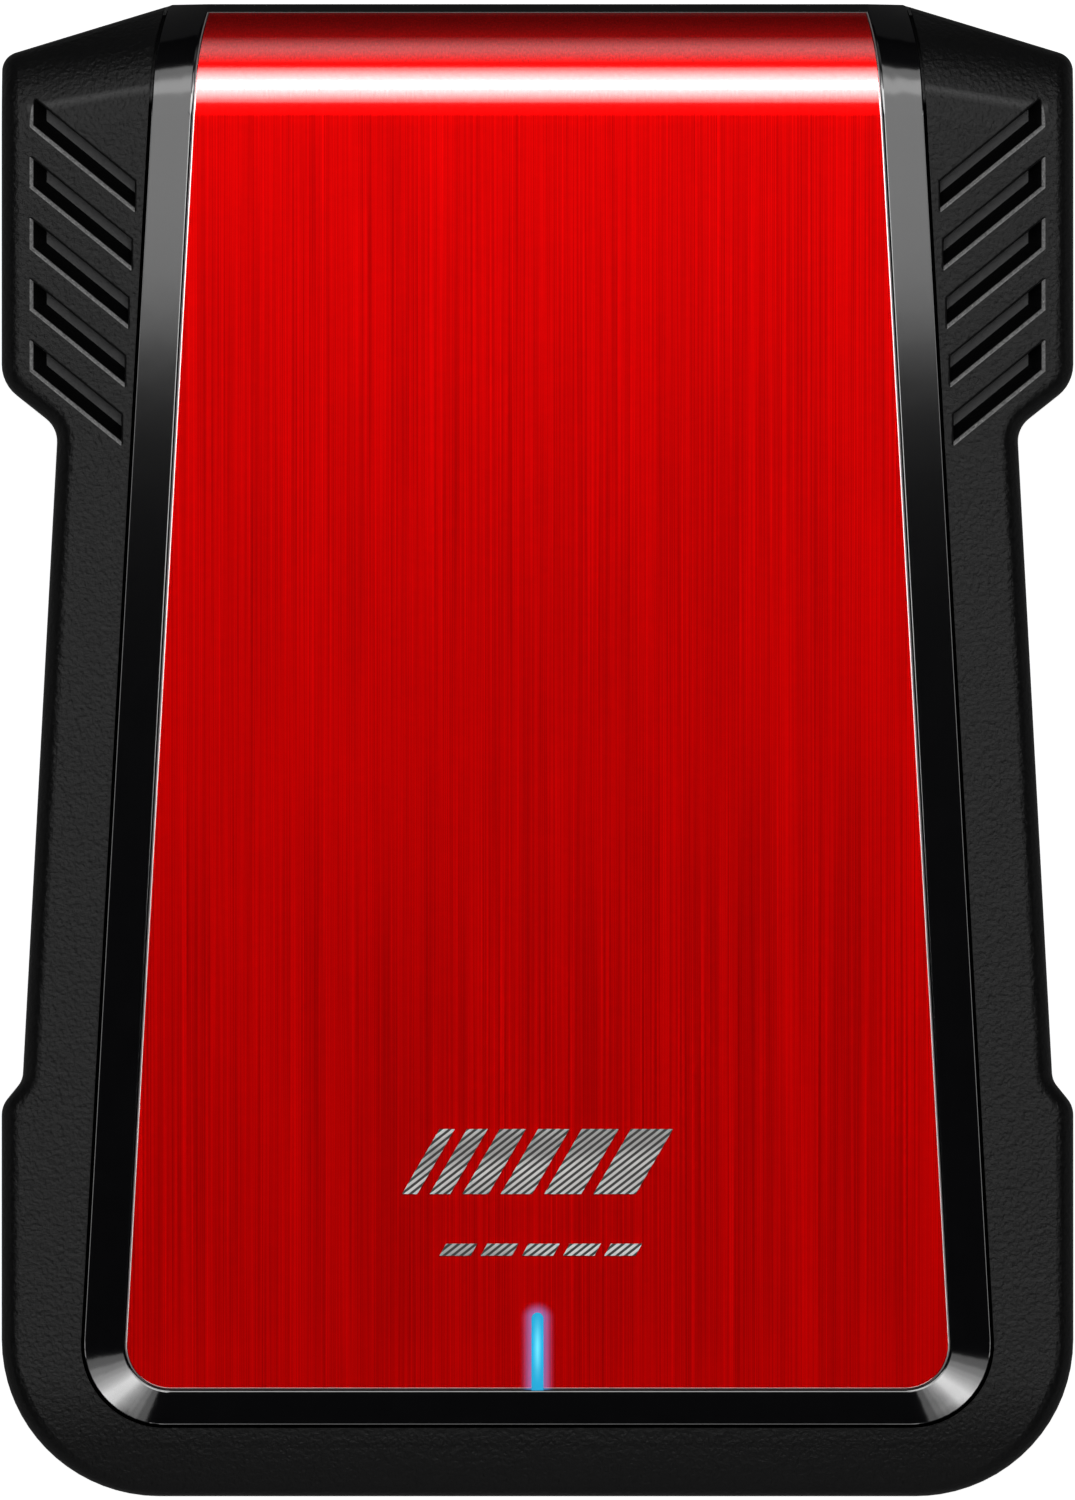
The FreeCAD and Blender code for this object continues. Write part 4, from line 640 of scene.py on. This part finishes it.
def lock_marks():
    """Printed signs under the case: an open and a closed padlock beside the lock, and its way to slide."""
    bm = bmesh.new()
    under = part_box("lower_case")[0].z
    low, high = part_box("lock_slider")
    y = high.y + SIGN_GAP
    padlock(bm, low.x + SIGN_SHIFT, y, under, True)
    padlock(bm, high.x + SIGN_SHIFT, y, under, False)
    tail = low.x + SIGN_SHIFT + ARROW_GAP
    tip = tail + ARROW_LENGTH
    y -= 0.5 * MM
    for way in (-1, 1):
        add_ribbon(bm, [(tip - 0.7 * MM, y + way * 0.7 * MM), (tip, y)], SIGN_LINE, under - PRINT, PRINT)
    add_ribbon(bm, [(tail, y), (tip - 0.1 * MM, y)], SIGN_LINE, under - PRINT, PRINT)
    finished("lock_marks", bm, "base", "label")


# Stage

CAMERA_HEIGHT = 2.5
FRAME_LEVEL = 0.010       # height at which the picture shows FRAME_HEIGHT from bottom to top
FRAME_HEIGHT = 0.1365
AIM = Vector((0.0, 0.0606, 0.016))      # middle of the bend
CREST = Vector((0.0, -0.0606, 0.016))   # middle of the bezel's crest at the USB end
GLOSSY = ("face_plate", "gloss_bezel", "emblem", "light_pipe")
OUTSIDE = ("upper_shell", "lower_case", "rubber_feet")
BOARD_DETAILS = ("component_ends", "resistors", "chip_legs", "board_traces")

# Turns are in degrees from straight up, towards the curved end
KEY_TURN = 26.0
LOW_TURN = 56.5
CREST_TURN = -20.0
NEAR_TURN = -28.0
FOOT_TURN = -42.0
ARCH_TURNS = (-0.4, 18.75, 37.9)
ARCH_STEP = 19.2
ARCH_DISTANCE = 1.0
SOFT_STEPS = 5
CORNER = (0.315, -0.336, 0.47)
CORNER_STEPS = 8
CORNER_WIDTH = 0.07       # of the narrowest panel; each is CORNER_GROWTH times as wide as the last
CORNER_GROWTH = 1.33
BEND_PANEL = (0.37, 0.32, 0.30)


def studio_floor():
    """Plain white floor under the object."""
    m = Shader("studio_floor", Roughness=0.7, Emission_Color=(1, 1, 1, 1), Emission_Strength=0.95)
    m.to("Base Color", m.mix(m.noise((3, 3, 3)), (0.86, 0.86, 0.86), (0.9, 0.9, 0.9)))
    bpy.ops.mesh.primitive_plane_add(size=6.0)
    floor = bpy.context.object
    floor.name = "floor"
    floor.location.z = -0.2 * MM      # just clear of the feet's undersides
    floor.visible_glossy = False
    floor.data.materials.append(m.material)


def linked(name, pieces, state):
    """A light-linking collection that includes or excludes the pieces."""
    group = bpy.data.collections.new(name)
    for piece in pieces:
        group.objects.link(bpy.data.objects[piece])
    for member in group.collection_objects:
        member.light_linking.link_state = state
    return group


def softbox(name, place, size, radiance, receivers, aim=(0, 0, 0)):
    """Rectangular area light of a given brightness that faces a point."""
    light = bpy.data.lights.new(name, "AREA")
    light.shape = "RECTANGLE"
    light.size, light.size_y = size
    light.energy = radiance * math.pi * size[0] * size[1]
    lamp = bpy.data.objects.new(name, light)
    lamp.location = place
    lamp.rotation_euler = (Vector(aim) - Vector(place)).to_track_quat("-Z", "Y").to_euler()
    lamp.light_linking.receiver_collection = receivers
    bpy.context.scene.collection.objects.link(lamp)


def turned(degrees, distance, aim=AIM):
    """A point that far from aim, turned that much from straight up towards the curved end."""
    turn = math.radians(degrees)
    return Vector(aim) + Vector((0, math.sin(turn), math.cos(turn))) * distance


def soft_strip(name, turn, distance, reach, radiance, receivers):
    """Stacked strips that add up to a band whose brightness falls off smoothly to both sides."""
    for step in range(SOFT_STEPS):
        share = math.acos(math.sqrt((step + 0.5) / SOFT_STEPS)) * 2 / math.pi
        place = turned(turn, distance + step * 2 * MM)
        softbox(name, place, (0.50, 2 * reach * share), radiance / SOFT_STEPS, receivers, AIM)


def lights():
    """Strips and panels for the glossy top, panels for what is inside, and a soft arch for all but the top.

    Each lamp's call gives its place, its size, its radiance and the pieces that it lights.
    """
    top = linked("glossy_top", GLOSSY, "INCLUDE")
    trim = linked("trim", ("gloss_bezel",), "INCLUDE")
    plate = linked("plate", ("face_plate",), "INCLUDE")
    rest = linked("all_but_glossy_top", GLOSSY, "EXCLUDE")
    hidden = [name for name in NODES if name not in GLOSSY + OUTSIDE]
    inside = linked("inside", [*hidden, *BOARD_DETAILS], "INCLUDE")
    soft_strip("key_strip", KEY_TURN, 0.555, 0.18, 8.3, top)
    softbox("key_core", turned(KEY_TURN, 0.60), (0.50, 0.06), 13.0, top, AIM)
    soft_strip("low_strip", LOW_TURN, 0.50, 0.12, 0.8, top)
    for side in (-1, 1):
        softbox("top_strip", (0.29 * side, 0.15, 0.55), (0.30, 0.10), 18.2, top)
        softbox("edge_strip", (0.36 * side, 0.08, 0.36), (0.30, 0.12), 3.0, plate, (0, 0.08, 0))
        softbox("side_panel", (0.37 * side, 0.239, 0.387), (0.35, 0.12), 4.4, top, (0, 0.239, 0))
        bend_place = (BEND_PANEL[0] * side, *BEND_PANEL[1:])
        softbox("bend_panel", bend_place, (0.25, 0.12), 3.2, trim, (0, BEND_PANEL[1] - 0.2, 0))
        softbox("rim_panel", (0.45 * side, -0.01, 0.16), (0.25, 0.22), 5.0, trim, (0, -0.01, 0))
        softbox("inner_panel", (0, 0.8 * side, 0.55), (1.0, 0.6), 2.2, inside)
        for step in range(CORNER_STEPS):
            place = Vector((CORNER[0] * side, *CORNER[1:])) * (1 + 0.005 * step)
            softbox("corner_panel", place, (CORNER_WIDTH * CORNER_GROWTH ** step, 0.13), 2.2, trim)
    softbox("crest_strip", turned(CREST_TURN, 0.55, CREST), (0.5, 0.12), 9.0, trim, CREST)
    softbox("rim_panel", (0, -0.51, 0.16), (0.25, 0.22), 5.0, trim, (0, -0.06, 0))
    softbox("near_strip", turned(NEAR_TURN, 0.30, CREST), (0.3, 0.07), 5.0, top, CREST)
    height = 2 * ARCH_DISTANCE * math.tan(math.radians(ARCH_STEP / 2))
    for turn in ARCH_TURNS:
        softbox("arch", turned(turn, ARCH_DISTANCE, (0, 0, 0)), (0.52, height), 1.5, rest)
    softbox("foot_panel", turned(FOOT_TURN, ARCH_DISTANCE, (0, 0, 0)), (0.45, 0.5), 0.36, rest)
    surroundings()


def surroundings():
    """Dim room that is brighter a little above the horizon, and darker towards the curved end."""
    world = bpy.data.worlds.new("studio")
    bpy.context.scene.world = world
    world.use_nodes = True
    tree = world.node_tree

    def ramp(source, low, high, to_low, to_high):
        made = tree.nodes.new("ShaderNodeMapRange")
        tree.links.new(source, made.inputs["Value"])
        for key, number in (("From Min", low), ("From Max", high), ("To Min", to_low), ("To Max", to_high)):
            made.inputs[key].default_value = number
        return made.outputs["Result"]

    def combined(operation, a, b):
        made = tree.nodes.new("ShaderNodeMath")
        made.operation = operation
        tree.links.new(a, made.inputs[0])
        tree.links.new(b, made.inputs[1])
        return made.outputs[0]

    coords = tree.nodes.new("ShaderNodeTexCoord")
    split = tree.nodes.new("ShaderNodeSeparateXYZ")
    tree.links.new(coords.outputs["Generated"], split.inputs[0])
    _, y, z = split.outputs
    rising = combined("MULTIPLY", ramp(z, 0.0, 0.25, 0.05, 0.2), ramp(z, 0.45, 0.60, 1.0, 0.0))
    walls = combined("MULTIPLY", rising, ramp(y, 0.15, 0.55, 1.0, 0.1))
    below = ramp(z, 0.0, 0.03, 0.09, 0.0)
    strength = combined("ADD", walls, below)
    background = tree.nodes["Background"]
    background.inputs["Color"].default_value = (1, 1, 1, 1)
    tree.links.new(strength, background.inputs["Strength"])


def camera():
    """Long lens straight above, with the curved end at the top of the picture."""
    data = bpy.data.cameras.new("camera")
    data.sensor_fit = "VERTICAL"
    data.sensor_height = 36.0
    data.lens = data.sensor_height * (CAMERA_HEIGHT - FRAME_LEVEL) / FRAME_HEIGHT
    data.clip_end = 20.0
    body = bpy.data.objects.new("camera", data)
    body.location = (0.0, 0.0, CAMERA_HEIGHT)
    bpy.context.scene.collection.objects.link(body)
    bpy.context.scene.camera = body


def view_settings():
    """Plain display colours."""
    bpy.context.scene.view_settings.view_transform = "Standard"
    bpy.context.scene.view_settings.look = "None"


materials = finishes()
dress_cad()
foam_pad("cover_foam", "cover", free_side_up=False)
foam_pad("base_foam", "base", free_side_up=True)
end_caps()
chip_legs()
board_traces()
lock_marks()
studio_floor()
lights()
camera()
view_settings()
